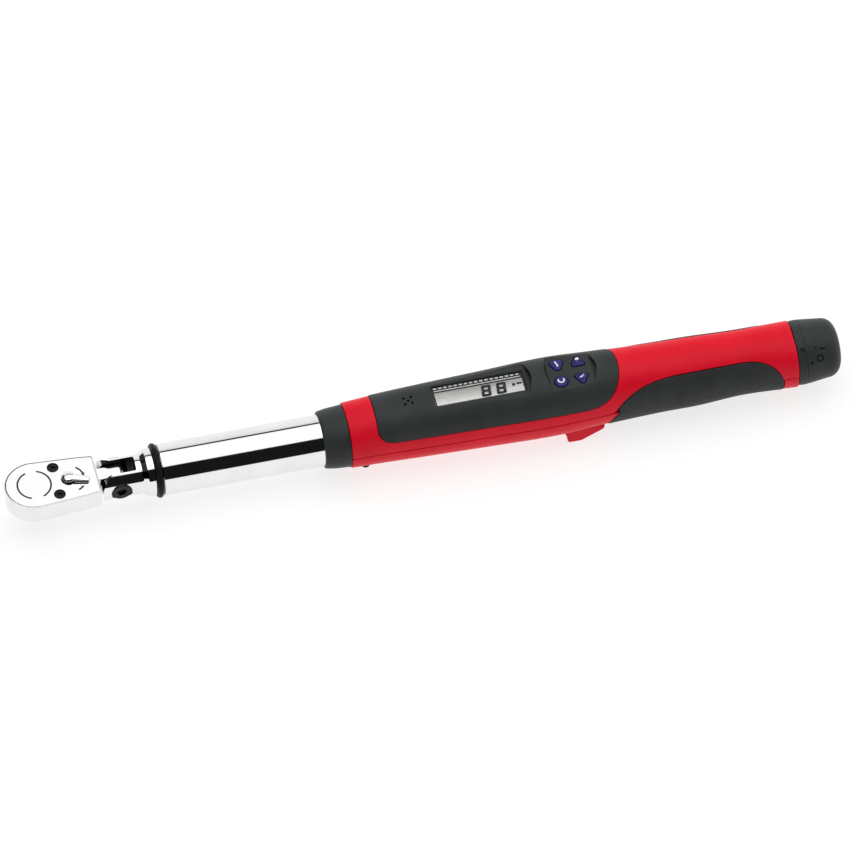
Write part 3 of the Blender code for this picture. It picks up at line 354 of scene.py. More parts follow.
def lcd_material():
    """Silvery polariser with the faint rows of a display; brighter towards the near edge, a painted
    reflection.
    """
    made = Shader("display_glass", 0.15)
    across = made.along("Y")
    # painted reflection: the field is lighter towards the near edge and darker towards the far edge
    shade = made.spread(across, 1, 0, -5.5 * MM, 3.2 * MM)
    cloud = made.noise(9 * MM, 3, stretch=(4, 1, 1))
    add = made.tree.nodes.new("ShaderNodeMath")
    add.operation = "MULTIPLY_ADD"
    made.link(cloud, add.inputs[0])
    add.inputs[1].default_value = 0.7
    made.link(made.spread(shade, -0.22, 0.72, 0, 1), add.inputs[2])
    made.colour(add.outputs[0], (0.33, 0.34, 0.31), (0.92, 0.92, 0.90), 0, 1)
    made.roughness(cloud, 0.22, 0.34)
    made.relief((made.waves(0.35 * MM, "Y"), 0.004 * MM))
    return made.material


# Flat colour with a little noise, for printed ink and for painted shade.
def ink_and_shade_material(name, dark, light, roughness):
    made = Shader(name)
    made.colour(made.noise(0.6 * MM, 3), dark, light)
    made.roughness(made.noise(0.3 * MM), roughness - 0.06, roughness + 0.08)
    made.relief((made.noise(0.2 * MM), 0.003 * MM))
    return made.material


def button_material():
    made = Shader("violet_button")
    tone = made.noise(2.2 * MM, 3)
    made.colour(tone, (0.036, 0.024, 0.16), (0.058, 0.040, 0.24))
    made.set("Specular IOR Level", 0.15)
    made.roughness(made.noise(0.6 * MM), 0.30, 0.46)
    made.set("Subsurface Weight", 0.05)
    made.relief((made.noise(0.2 * MM, 2), 0.008 * MM))
    return made.material


def circuit_material():
    made = Shader("circuit_board")
    traces = made.spread(made.waves(2.2 * MM, "X", 3.0), 0, 1, 0.62, 0.7)
    made.colour(traces, (0.008, 0.075, 0.03), (0.03, 0.16, 0.07), 0, 1)
    made.roughness(made.noise(1 * MM), 0.28, 0.45)
    made.relief((traces, 0.03 * MM))
    return made.material


def battery_material():
    made = Shader("battery_wrap", 0.5)
    made.colour(made.noise(9 * MM, 2, stretch=(6, 1, 1)), (0.03, 0.03, 0.035),
                (0.09, 0.085, 0.08))
    made.roughness(made.noise(3 * MM), 0.2, 0.36)
    made.relief((made.noise(5 * MM, 2), 0.02 * MM))
    return made.material


def white_plastic_material():
    made = Shader("white_plastic")
    made.colour(made.noise(7 * MM, 3), (0.66, 0.66, 0.63), (0.76, 0.76, 0.73))
    made.roughness(made.noise(1 * MM), 0.38, 0.52)
    made.relief((made.noise(0.3 * MM, 2), 0.01 * MM))
    return made.material


CHROME = chrome_material()
STEEL = steel_material()
BLACK_STEEL = black_steel_material()
BRONZE = bronze_material()
RED = red_material()
DARK_PLASTIC = dark_plastic_material()
RUBBER = rubber_material()
SEAL = seal_material()
LENS = lens_material()
LCD = lcd_material()
BUTTON = button_material()
CIRCUIT = circuit_material()
BATTERY = battery_material()
WHITE_PLASTIC = white_plastic_material()
DARK_INK = ink_and_shade_material("dark_ink", (0.003, 0.003, 0.004), (0.007, 0.007, 0.008), 0.5)
WHITE_INK = ink_and_shade_material("white_ink", (0.80, 0.80, 0.79), (0.90, 0.90, 0.89), 0.4)
# groove_shadow is painted shade: a dark fill standing in for the shade in gaps, grooves and recesses.
PAINTED_GROOVE_SHADE = ink_and_shade_material("groove_shadow", (0.006, 0.006, 0.007), (0.014, 0.014, 0.014), 0.6)


# ---------------------------------------------------------------- mesh helpers


def piece(name, mesh, material, body, nodes=(), location=(0, 0, 0), turn=0.0, flat=True):
    """A visible piece that rides on a body and stands for CAD nodes."""
    obj = bpy.data.objects.new(name, mesh)
    bpy.context.scene.collection.objects.link(obj)
    obj.location = PLACE + Vector(location)
    obj.rotation_euler.z = turn
    mesh.materials.append(material)
    if flat:
        weighted = obj.modifiers.new("Weighted normals", "WEIGHTED_NORMAL")
        weighted.keep_sharp = True
        weighted.weight = 90
    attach(obj, body)
    if nodes:
        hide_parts(*nodes)
    return obj


def smooth_mesh(name, bm, sharp=32):
    bmesh.ops.remove_doubles(bm, verts=bm.verts, dist=1e-7)
    bmesh.ops.recalc_face_normals(bm, faces=bm.faces)
    mesh = bpy.data.meshes.new(name)
    bm.to_mesh(mesh)
    bm.free()
    mesh.shade_smooth()
    mesh.set_sharp_from_angle(angle=math.radians(sharp))
    return mesh


def arc(centre, radius, start, end, steps):
    """Points of an arc in degrees, both ends included."""
    angles = [math.radians(start + (end - start) * i / steps) for i in range(steps + 1)]
    return [(centre[0] + radius * math.cos(a), centre[1] + radius * math.sin(a)) for a in angles]


def filleted(corners, closed=True, steps=6):
    """An outline through corners (x, y, radius), each rounded by an arc of its radius."""
    points = []
    count = len(corners)
    for i, (x, y, radius) in enumerate(corners):
        here = Vector((x, y))
        if radius == 0 or (not closed and i in (0, count - 1)):
            points.append((x, y))
            continue
        before = (Vector(corners[i - 1][:2]) - here).normalized()
        after = (Vector(corners[(i + 1) % count][:2]) - here).normalized()
        half = before.angle(after) / 2
        centre = here + (before + after).normalized() * (radius / math.sin(half))
        start = here + before * (radius / math.tan(half)) - centre
        end = here + after * (radius / math.tan(half)) - centre
        sweep = start.angle_signed(end)
        for k in range(steps + 1):
            spot = start.copy()
            spot.rotate(Matrix.Rotation(-sweep * k / steps, 2))
            points.append(tuple(centre + spot))
    return points


def shrunk(outline, inset):
    """The outline moved inwards by a distance; it runs counterclockwise."""
    count = len(outline)
    moved = []
    for i in range(count):
        here = Vector(outline[i])
        before = (here - Vector(outline[i - 1])).normalized()
        after = (Vector(outline[(i + 1) % count]) - here).normalized()
        normal = Vector((-(before.y + after.y), before.x + after.x)).normalized()
        stretch = 1 / max(normal.dot(Vector((-after.y, after.x))), 0.4)
        moved.append(tuple(here + normal * inset * stretch))
    return moved


def edge_rings(low, high, low_edge, high_edge, steps=5):
    """(inset, height) from the bottom face to the top face, with both edges rounded."""
    rings = []
    if low_edge:
        rings += [(low_edge * (1 - math.sin(a)), low + low_edge * (1 - math.cos(a)))
                  for a in (math.pi / 2 * i / steps for i in range(steps + 1))]
    else:
        rings.append((0, low))
    if high_edge:
        rings += [(high_edge * (1 - math.cos(a)), high - high_edge * (1 - math.sin(a)))
                  for a in (math.pi / 2 * i / steps for i in range(steps + 1))]
    else:
        rings.append((0, high))
    return rings


def stacked(name, outline, rings, sharp=32):
    """A solid made of insets of one outline at rising heights, closed at both ends."""
    bm = bmesh.new()
    loops = []
    for inset, height in rings:
        spots = shrunk(outline, inset) if inset else outline
        loops.append([bm.verts.new((x, y, height)) for x, y in spots])
    for first, second in zip(loops, loops[1:]):
        for i in range(len(outline)):
            j = (i + 1) % len(outline)
            bm.faces.new((first[i], first[j], second[j], second[i]))
    bm.faces.new(list(reversed(loops[0])))
    bm.faces.new(loops[-1])
    return smooth_mesh(name, bm, sharp)


def plate(name, outline, low, high, low_edge=0.0, high_edge=0.0, sharp=32):
    return stacked(name, outline, edge_rings(low, high, low_edge, high_edge), sharp)


def side_plate(name, outline, half, edge=0.0):
    """An outline in XZ, from -half to half along Y."""
    mesh = plate(name, outline, -half, half, edge, edge)
    mesh.transform(Matrix.Rotation(math.radians(90), 4, "X"))
    return mesh


def turned(name, profile, steps=96, axis="X", closed=True, sharp=32):
    """A turned solid: profile points are (radius, place along the axis)."""
    bm = bmesh.new()
    rings = []
    for radius, along in profile:
        if radius < 1e-7:
            rings.append([bm.verts.new((0, 0, along))])
            continue
        turns = [math.tau * i / steps for i in range(steps)]
        rings.append([bm.verts.new((radius * math.cos(a), radius * math.sin(a), along)) for a in turns])
    pairs = list(zip(rings, rings[1:]))
    if closed and len(rings[0]) > 1:
        pairs.append((rings[-1], rings[0]))
    for first, second in pairs:
        for i in range(steps):
            j = (i + 1) % steps
            corners = [first[i % len(first)], first[j % len(first)], second[j % len(second)],
                       second[i % len(second)]]
            unique = list(dict.fromkeys(corners))
            if len(unique) > 2:
                bm.faces.new(unique)
    mesh = smooth_mesh(name, bm, sharp)
    if axis == "X":
        mesh.transform(Matrix.Rotation(math.radians(90), 4, "Y"))
    if axis == "Y":
        mesh.transform(Matrix.Rotation(math.radians(-90), 4, "X"))
    return mesh


def tube_profile(inner, outer, start, end, edge):
    return filleted([(outer, start, edge), (outer, end, edge), (inner, end, edge), (inner, start, edge)],
                    steps=4)


def torus_mesh(name, radius, section, axis="X", steps=96, sides=24):
    turns = [math.tau * i / sides for i in range(sides)]
    profile = [(radius + section * math.cos(a), section * math.sin(a)) for a in turns]
    return turned(name, profile, steps, axis, sharp=80)


def boolean(obj, mesh, operation="DIFFERENCE", location=(0, 0, 0), turn=0.0, material=None):
    """Cuts the mesh from the piece or joins it on, and applies the result at once."""
    tool = bpy.data.objects.new("tool", mesh)
    bpy.context.scene.collection.objects.link(tool)
    tool.location = PLACE + Vector(location)
    tool.rotation_euler.z = turn
    if material:
        mesh.materials.append(material)
    modifier = obj.modifiers.new("Boolean", "BOOLEAN")
    modifier.operation = operation
    modifier.solver = "EXACT"
    modifier.material_mode = "TRANSFER" if material else "INDEX"
    modifier.object = tool
    while obj.modifiers[0] != modifier:
        obj.modifiers.move(len(obj.modifiers) - 1, 0)
    others = [m for m in obj.modifiers if m != modifier]
    for other in others:
        other.show_viewport = False
    bpy.context.view_layer.update()
    graph = bpy.context.evaluated_depsgraph_get()
    result = bpy.data.meshes.new_from_object(obj.evaluated_get(graph))
    obj.modifiers.remove(modifier)
    for other in others:
        other.show_viewport = True
    obj.data = result
    result.set_sharp_from_angle(angle=math.radians(32))
    bpy.data.objects.remove(tool, do_unlink=True)


def cylinder(radius, low, high, axis="Z", steps=64):
    return turned("cylinder", [(0, high), (radius, high), (radius, low), (0, low)], steps, axis)


def box_outline(x0, x1, y0, y1, radius):
    return filleted([(x0, y0, radius), (x1, y0, radius), (x1, y1, radius), (x0, y1, radius)])


def darken_sides(mesh, limit):
    """Gives the upright faces below a height painted shade, the dark of a narrow gap."""
    mesh.materials.append(PAINTED_GROOVE_SHADE)
    for face in mesh.polygons:
        if abs(face.normal.z) < 0.5 and face.center.z < limit:
            face.material_index = 1


def hexagon(radius):
    turns = [math.tau * i / 6 for i in range(6)]
    return [(radius * math.cos(a), radius * math.sin(a)) for a in turns]


# ---------------------------------------------------------------- head


def head_outline(inset=0.0):
    """Round nose, sides that taper to the waist and the neck, and small neck corners."""
    radius = HEAD_RADIUS - inset
    nose = [(min(x, x * NOSE_STRETCH), y) for x, y in arc((0, 0), radius, 82, 278, 72)]
    waist_x, waist = WAIST
    neck_x, neck = NECK
    rear = filleted([
        (*nose[-1], 0), (waist_x, inset - waist, 30 * MM),
        (neck_x - inset, inset - neck, 1.2 * MM), (neck_x - inset, neck - inset, 1.2 * MM),
        (waist_x, waist - inset, 30 * MM), (*nose[0], 0),
    ], closed=False, steps=8)
    return nose + rear[1:-1]


def add_head():
    rings = edge_rings(HEAD_BOTTOM, HEAD_TOP, 1.5 * MM, 0.25 * MM)
    body = piece("head_casting", stacked("head_casting", head_outline(), rings), CHROME, "head",
                 ["head_body"])
    # The recess round the cover plate is lined with painted shade, the dark of the gap.
    recess = plate("recess", head_outline(PLATE_INSET - PLATE_GAP), PLATE_FLOOR, HEAD_TOP + 1 * MM)
    boolean(body, recess, material=PAINTED_GROOVE_SHADE)
    tang = arc((PIVOT_X, 0), TANG_RADIUS, -90, 90, 40)
    tang += [(NECK[0] - 1 * MM, TANG_RADIUS), (NECK[0] - 1 * MM, -TANG_RADIUS)]
    boolean(body, side_plate("tang", tang, TANG_HALF, 0.45 * MM), "UNION")
    boolean(body, cylinder(10.5 * MM, -3.8 * MM, 6 * MM))
    pocket = arc((LEVER_X, 0), 6.6 * MM, -100, 100, 24) + [(4 * MM, 8 * MM), (4 * MM, -8 * MM)]
    boolean(body, plate("pocket", pocket, -3.8 * MM, 6 * MM))
    boolean(body, cylinder(8.5 * MM, -8 * MM, 0))
    boolean(body, cylinder(2.2 * MM, -5.3 * MM, 0), location=(LEVER_X, 0, 0))
    boolean(body, cylinder(1.3 * MM, -3.4 * MM, 6 * MM), location=(LEVER_X + 8.6 * MM, 0, 0))
    boolean(body, cylinder(2.8 * MM, -9 * MM, 9 * MM, "Y"), location=(PIVOT_X, 0, 0))
    for x, y in SCREW_PLACES:
        boolean(body, cylinder(1.2 * MM, -4 * MM, 6 * MM, steps=24), location=(x, y, 0))
    bush = tube_profile(7.1 * MM, 8.35 * MM, HEAD_BOTTOM + 0.2 * MM, -3.6 * MM, 0.15 * MM)
    piece("drive_bushing", turned("drive_bushing", bush, 64, "Z"), BRONZE, "head",
          ["drive_bush"])


def sector(radius, width, start, end, steps=24):
    """Outline of a bent bar with round ends, round the origin."""
    outer = arc((0, 0), radius + width / 2, start, end, steps)
    inner = arc((0, 0), radius - width / 2, end, start, steps)
    return outer + inner


def arrow(radius, width, start, end, head):
    """A bent arrow that points to its end angle."""
    points = sector(radius, width, start, end, 12)
    tip_turn = math.radians(end)
    across = Vector((math.cos(tip_turn), math.sin(tip_turn)))
    ahead = Vector((-across.y, across.x)) * (1 if end > start else -1)
    middle = across * radius
    barb = [tuple(middle + across * head * 0.75), tuple(middle + ahead * head * 1.3),
            tuple(middle - across * head * 0.75)]
    outline = points[:13] + barb + points[13:]
    return outline if end > start else list(reversed(outline))


def add_cover():
    mesh = plate("head_cover", head_outline(PLATE_INSET), PLATE_FLOOR + 0.15 * MM, HEAD_TOP, 0,
                 0.12 * MM)
    cover = piece("head_cover", mesh, CHROME, "head", ["cover_plate"], (0.16 * MM, -0.08 * MM, 0))
    # painted shade on the cover's sides, down in the gap round the plate
    darken_sides(mesh, HEAD_TOP - 0.2 * MM)
    boolean(cover, cylinder(4.1 * MM, 0, 9 * MM), location=(LEVER_X, 0, 0))
    for x, y in SCREW_PLACES:
        seat = [(0, 9 * MM), (3.1 * MM, 9 * MM), (3.1 * MM, HEAD_TOP), (2.9 * MM, HEAD_TOP - 0.2 * MM),
                (2.9 * MM, 5 * MM), (0, 5 * MM)]
        # painted shade in the seat round the screw head
        boolean(cover, turned("seat", seat, 64, "Z"), location=(x, y, 0), material=PAINTED_GROOVE_SHADE)
        boolean(cover, cylinder(1.2 * MM, 0, 9 * MM, steps=24), location=(x, y, 0))
    engraving = HEAD_TOP - 0.2 * MM
    # The ring marks and arrows are grooves filled with painted shade.
    for start, end in ((110, 250), (-68, 72)):
        groove = plate("ring_mark", sector(RING_MARK_RADIUS, 0.95 * MM, start, end, 40), engraving,
                       9 * MM)
        boolean(cover, groove, material=PAINTED_GROOVE_SHADE)
    for radius, start, end, head in ((8.0, 52, 14, 1.5), (9.0, -66, -50, 1.1)):
        mark = plate("arrow_mark", arrow(radius * MM, 1.0 * MM, start, end, head * MM), engraving, 9 * MM)
        boolean(cover, mark, location=(LEVER_X, 0, 0), material=PAINTED_GROOVE_SHADE)


def socket_screw(name, head_radius, head_low, head_high, shank_radius, shank_end, socket_radius,
                 socket_depth, edge):
    """Mesh of a screw whose head is up along Z, and the hexagonal tool for its socket."""
    profile = filleted([
        (0, head_high, 0), (head_radius, head_high, edge), (head_radius, head_low, 0.1 * MM),
        (shank_radius, head_low, 0.1 * MM), (shank_radius, shank_end, 0.2 * MM), (0, shank_end, 0),
    ], closed=False, steps=4)
    socket = stacked("socket", hexagon(socket_radius), [
        (0, head_high - socket_depth), (0, head_high - 0.15 * MM), (-0.15 * MM, head_high),
        (-0.4 * MM, head_high + 0.25 * MM),
    ])
    return turned(name, profile, 64, "Z"), socket


def add_cover_screws():
    for i, (x, y) in enumerate(SCREW_PLACES, 1):
        mesh, socket = socket_screw(f"head_screw_{i}", 2.7 * MM, 5.15 * MM, 6.4 * MM, 1.05 * MM,
                                    -3.6 * MM, 1.3 * MM, 0.9 * MM, 0.35 * MM)
        screw = piece(f"head_screw_{i}", mesh, BLACK_STEEL, "head",
                      [f"cover_screw_{i}"], (x, y, 0))
        boolean(screw, socket, location=(x, y, 0), turn=0.3 * i)


def add_lever():
    """Reverse lever: spindle, cam, a domed hub and a tapering thumb arm."""
    place = (LEVER_X, 0, 0)
    profile = filleted([
        (0, 7.4 * MM, 0), (2.9 * MM, 7.4 * MM, 0), (2.9 * MM, 3.95 * MM, 0), (4.9 * MM, 3.95 * MM, 0),
        (4.9 * MM, 1.7 * MM, 0.2 * MM), (3.0 * MM, 1.7 * MM, 0), (3.0 * MM, -3.6 * MM, 0),
        (2.0 * MM, -3.6 * MM, 0), (2.0 * MM, -5.1 * MM, 0.2 * MM), (0, -5.1 * MM, 0),
    ], closed=False, steps=3)
    lever = piece("direction_lever", turned("direction_lever", profile, 64, "Z"), CHROME, "lever",
                  ["reverse_lever"], place, LEVER_REST)
    outline = arc((0, 0), 2.5 * MM, 72, 288, 32) + arc((9.6 * MM, 0), 1.5 * MM, -80, 80, 16)
    arm = plate("lever_arm", outline, 7.0 * MM, 9.2 * MM, 0.3 * MM, 0.8 * MM)
    for vertex in arm.vertices:
        reach = min(max((vertex.co.x - 1.5 * MM) / (9.6 * MM), 0), 1)
        if vertex.co.z > 7.6 * MM:
            vertex.co.z -= 0.7 * MM * reach**2
    boolean(lever, arm, "UNION", place, LEVER_REST)
    hub = [(0, 7.1 * MM), (3.35 * MM, 7.1 * MM)]
    hub += [(3.5 * MM * math.cos(math.radians(9 * i)), 7.7 * MM + 1.95 * MM * math.sin(math.radians(9 * i)))
            for i in range(10)]
    hub.append((0, 9.65 * MM))
    boolean(lever, turned("lever_hub", hub, 64, "Z", closed=False), "UNION", place, LEVER_REST)
    seal = torus_mesh("lever_ring", 3.45 * MM, 0.4 * MM, "Z", 64, 16)
    piece("lever_ring", seal, SEAL, "head", ["lever_seal"], (LEVER_X, 0, 6.1 * MM))


def add_drive():
    """Ratchet gear, boss and the square with rounded corners and a chamfered tip."""
    teeth = []
    for i in range(GEAR_TEETH):
        for part, radius in ((0, 10.0 * MM), (0.15, 10.0 * MM), (0.55, 9.3 * MM), (0.7, 9.3 * MM)):
            angle = math.tau * (i + part) / GEAR_TEETH
            teeth.append((radius * math.cos(angle), radius * math.sin(angle)))
    gear = piece("drive_anvil", plate("drive_anvil", teeth, -3.4 * MM, 4.0 * MM, sharp=20), STEEL, "drive",
                 ["drive_gear"])
    boss = turned("boss", filleted([
        (0, 0, 0), (7.0 * MM, 0, 0), (7.0 * MM, HEAD_BOTTOM - 0.3 * MM, 0.4 * MM),
        (0, HEAD_BOTTOM - 0.3 * MM, 0),
    ], closed=False, steps=4), 96, "Z")
    boolean(gear, boss, "UNION")
    tip = -PLACE.z
    half = 4.75 * MM
    square = box_outline(-half, half, -half, half, 0.9 * MM)
    rings = [(1.0 * MM, tip), (0.35 * MM, tip + 0.25 * MM), (0, tip + 1.1 * MM), (0, -5 * MM)]
    boolean(gear, stacked("square", square, rings), "UNION")
    ball_z = tip + 5 * MM
    boolean(gear, cylinder(1.8 * MM, -1.5 * MM, 8 * MM, "X", 48), location=(0, 0, ball_z))
    turns = [math.radians(90 - 180 * i / 32) for i in range(33)]
    profile = [(1.6 * MM * math.cos(a) if 0 < i < 32 else 0, 1.6 * MM * math.sin(a))
               for i, a in enumerate(turns)]
    piece("detent_sphere", turned("detent_sphere", profile, 48, "X", sharp=80), STEEL, "drive_ball",
          ["retention_ball"], (half - 0.6 * MM, 0, ball_z))


# ---------------------------------------------------------------- flex joint, shank and tube


def add_flex_joint():
    place = (PIVOT_X, 0, 0)
    seat = SPOT_FACE + 0.2 * MM
    mesh, socket = socket_screw("hinge_screw", 5.4 * MM, seat, seat + 2.1 * MM, 2.6 * MM,
                                -seat - 2.6 * MM, 2.6 * MM, 1.6 * MM, 0.5 * MM)
    to_near = Matrix.Rotation(math.radians(90), 4, "X")
    mesh.transform(to_near)
    socket.transform(to_near)
    screw = piece("hinge_screw", mesh, BLACK_STEEL, "handle", ["pivot_screw"], place)
    boolean(screw, socket, location=place)
    nut = stacked("hinge_nut", hexagon(4.9 * MM), edge_rings(seat + 0.3 * MM, seat + 2.4 * MM, 0.1 * MM,
                                                             0.3 * MM, 3))
    nut.transform(Matrix.Rotation(math.radians(-90), 4, "X"))
    nut = piece("hinge_nut", nut, BLACK_STEEL, "handle", ["pivot_nut"], place)
    boolean(nut, cylinder(2.75 * MM, 0, 20 * MM, "Y"), location=place)
    for i, side in enumerate((-1, 1), 1):
        centre = side * (TANG_HALF + EAR_INNER) / 2
        profile = tube_profile(2.8 * MM, 5.6 * MM, centre - 0.3 * MM, centre + 0.3 * MM, 0.12 * MM)
        washer = turned(f"hinge_washer_{i}", profile, 64, "Y")
        piece(f"hinge_washer_{i}", washer, BLACK_STEEL, "handle", [f"friction_washer_{i}"], place)


def add_yoke():
    """Round bar cut to a fork in front, with the shank, the seat of the ring and the inner beam."""
    ring_front, ring_rear = RING_X - 1.9 * MM, RING_X + 1.9 * MM
    profile = filleted([
        (0, 30 * MM, 0), (YOKE_RADIUS, 30 * MM, 0), (YOKE_RADIUS, SHOULDER_START, 2.4 * MM),
        (SHANK_RADIUS, SHOULDER_START + 3 * MM, 1.2 * MM), (SHANK_RADIUS, ring_front, 0.3 * MM),
        (10.7 * MM, ring_front, 0.2 * MM), (10.7 * MM, ring_rear, 0.2 * MM),
        (12.05 * MM, ring_rear, 0.2 * MM), (12.05 * MM, 76 * MM, 0.4 * MM), (0, 76 * MM, 0),
    ], closed=False, steps=8)
    yoke = piece("fork_bar", turned("fork_bar", profile, 128, "X"), CHROME, "handle",
                 ["yoke_beam"])
    far = 15 * MM
    nose = arc((PIVOT_X, 0), EAR_NOSE_RADIUS, 270, 90, 60)
    nose += [(PIVOT_X, far), (20 * MM, far), (20 * MM, -far), (PIVOT_X, -far)]
    boolean(yoke, side_plate("nose", list(reversed(nose)), far))
    slot = box_outline(10 * MM, SLOT_END_X, -EAR_INNER, EAR_INNER, 0.8 * MM)
    # The slot's walls take the black steel finish: painted shade inside the slot.
    boolean(yoke, plate("slot", slot, -far, far), material=BLACK_STEEL)
    boolean(yoke, cylinder(2.7 * MM, -far, far, "Y"), location=(PIVOT_X, 0, 0))
    for low, high in ((-far, -SPOT_FACE), (SPOT_FACE, far)):
        boolean(yoke, cylinder(5.65 * MM, low, high, "Y", 96), location=(PIVOT_X, 0, 0))
    bar = plate("bar", box_outline(75 * MM, 153 * MM, -4.5 * MM, 4.5 * MM, 0.5 * MM), -6.5 * MM,
                6.5 * MM, 0.4 * MM, 0.4 * MM)
    boolean(yoke, bar, "UNION")
    spigot = filleted([
        (0, 192 * MM, 0), (7.85 * MM, 192 * MM, 0.5 * MM), (7.85 * MM, 166 * MM, 0),
        (12.05 * MM, 166 * MM, 0.3 * MM), (12.05 * MM, 152 * MM, 0.3 * MM), (0, 152 * MM, 0),
    ], closed=False, steps=4)
    boolean(yoke, turned("spigot", spigot, 96, "X"), "UNION")
    bevel = yoke.modifiers.new("Edge", "BEVEL")
    bevel.width = 0.3 * MM
    bevel.segments = 3
    bevel.limit_method = "ANGLE"
    bevel.angle_limit = math.radians(40)
    yoke.modifiers.move(1, 0)


def add_tube():
    tube = turned("chrome_tube", tube_profile(TUBE_BORE, TUBE_RADIUS, TUBE_START, TUBE_END, 0.3 * MM),
                  160, "X")
    piece("chrome_tube", tube, CHROME, "handle", ["outer_tube"])
    ring = torus_mesh("tube_band", 12.6 * MM, 1.72 * MM, "X", 128, 32)
    piece("tube_band", ring, SEAL, "handle", ["tube_ring"], (RING_X, 0, 0))
    end = HOUSING_START - 0.25 * MM
    profile = filleted([
        (16.35 * MM, end, 0.2 * MM), (15.75 * MM, COLLAR_START + 5 * MM, 12 * MM),
        (14.9 * MM, COLLAR_START, 1.4 * MM), (TUBE_RADIUS + 0.15 * MM, COLLAR_START, 0.15 * MM),
        (TUBE_RADIUS + 0.15 * MM, end, 0),
    ], steps=8)
    piece("tube_collar", turned("tube_collar", profile, 128, "X"), DARK_PLASTIC, "handle",
          ["front_collar"])


# ---------------------------------------------------------------- housing surface


def section_at(x):
    """Half width, crown and belly of the housing at x, on a smooth curve through the sections."""
    places = [row[0] * MM for row in HOUSING_SECTIONS]
    x = min(max(x, places[0]), places[-1])
    i = max(k for k in range(len(places) - 1) if places[k] <= x)
    before, after = max(i - 1, 0), min(i + 2, len(places) - 1)
    span = places[i + 1] - places[i]
    t = (x - places[i]) / span
    found = []
    for column in (1, 2, 3):
        value = [row[column] * MM for row in HOUSING_SECTIONS]
        slope_a = (value[i + 1] - value[before]) / (places[i + 1] - places[before]) * span
        slope_b = (value[after] - value[i]) / (places[after] - places[i]) * span
        found.append(
            (2 * t**3 - 3 * t**2 + 1) * value[i] + (t**3 - 2 * t**2 + t) * slope_a
            + (3 * t**2 - 2 * t**3) * value[i + 1] + (t**3 - t**2) * slope_b
        )
    return found


def skin_radius(x, angle):
    half_width, crown, belly = section_at(x)
    across = abs(math.cos(math.radians(angle)))
    rise = math.sin(math.radians(angle))
    height = crown if rise >= 0 else belly
    total = (across / half_width) ** HOUSING_POWER + (abs(rise) / height) ** HOUSING_POWER
    return total ** (-1 / HOUSING_POWER)


def skin_point(x, angle, radius):
    turn = math.radians(angle)
    return Vector((x, -radius * math.cos(turn), radius * math.sin(turn)))


def clamp(value):
    return min(max(value, 0), 1)


def panel_edge(x):
    """Angle of the display panel's near edge at x: rounded front corners and a rounded rear end."""
    front, rear = PANEL_EDGES
    edge = front + (rear - front) * (x - PANEL_START) / (PANEL_END - PANEL_START)
    corner = clamp((PANEL_START + PANEL_CORNER - x) / PANEL_CORNER)
    tail = clamp((x - PANEL_ROUND_START) / (PANEL_END - PANEL_ROUND_START))
    edge += PANEL_CORNER_ANGLE * (1 - math.sqrt(1 - corner**2))
    return 90 - (90 - edge) * math.sqrt(1 - tail**2)


def grip_edge(x):
    """Angle of the grip's upper edge at x: it sweeps up from the belly and comes down at the end."""
    front = clamp((GRIP_CREST[0] - x) / GRIP_FRONT_LENGTH)
    rear = clamp((x - GRIP_CREST[1]) / GRIP_REAR_LENGTH)
    drop = GRIP_FRONT_DROP * (1 - math.sqrt(1 - front**4))
    return GRIP_PEAK - drop - GRIP_REAR_DROP * (1 - math.sqrt(1 - rear**3))


def belly_shift(x, angle):
    """How far a cross line leans forward under the belly, to follow the grip's front edge."""
    angle = -90 + abs(-90 - angle)
    lean = (GRIP_START - GRIP_BELLY_START) * math.sin(clamp(-angle / 38.0) * math.pi / 2)
    return -lean * max(1 - abs(x - GRIP_START) / (20 * MM), 0)


def spaced(start, end, count):
    return [start + (end - start) * i / (count - 1) for i in range(count)]


def eased(start, end, count, tight_end):
    """Stations that crowd towards one end, for an outline that rounds off there."""
    steps = [math.sin(i / (count - 1) * math.pi / 2) for i in range(count)]
    if tight_end:
        return [start + (end - start) * s for s in steps]
    return [end - (end - start) * s for s in reversed(steps)]


def rounded_drop(distance, edge):
    """How far a rounded edge lies below the surface, at a distance in from the edge."""
    if distance >= edge:
        return 0.0
    return edge - math.sqrt(max(edge**2 - (edge - distance) ** 2, 0))


def rim_samples(edge, steps=5):
    """Distances in from an edge at which to sample its rounding."""
    return [edge * (1 - math.cos(math.pi / 2 * i / steps)) for i in range(steps)]


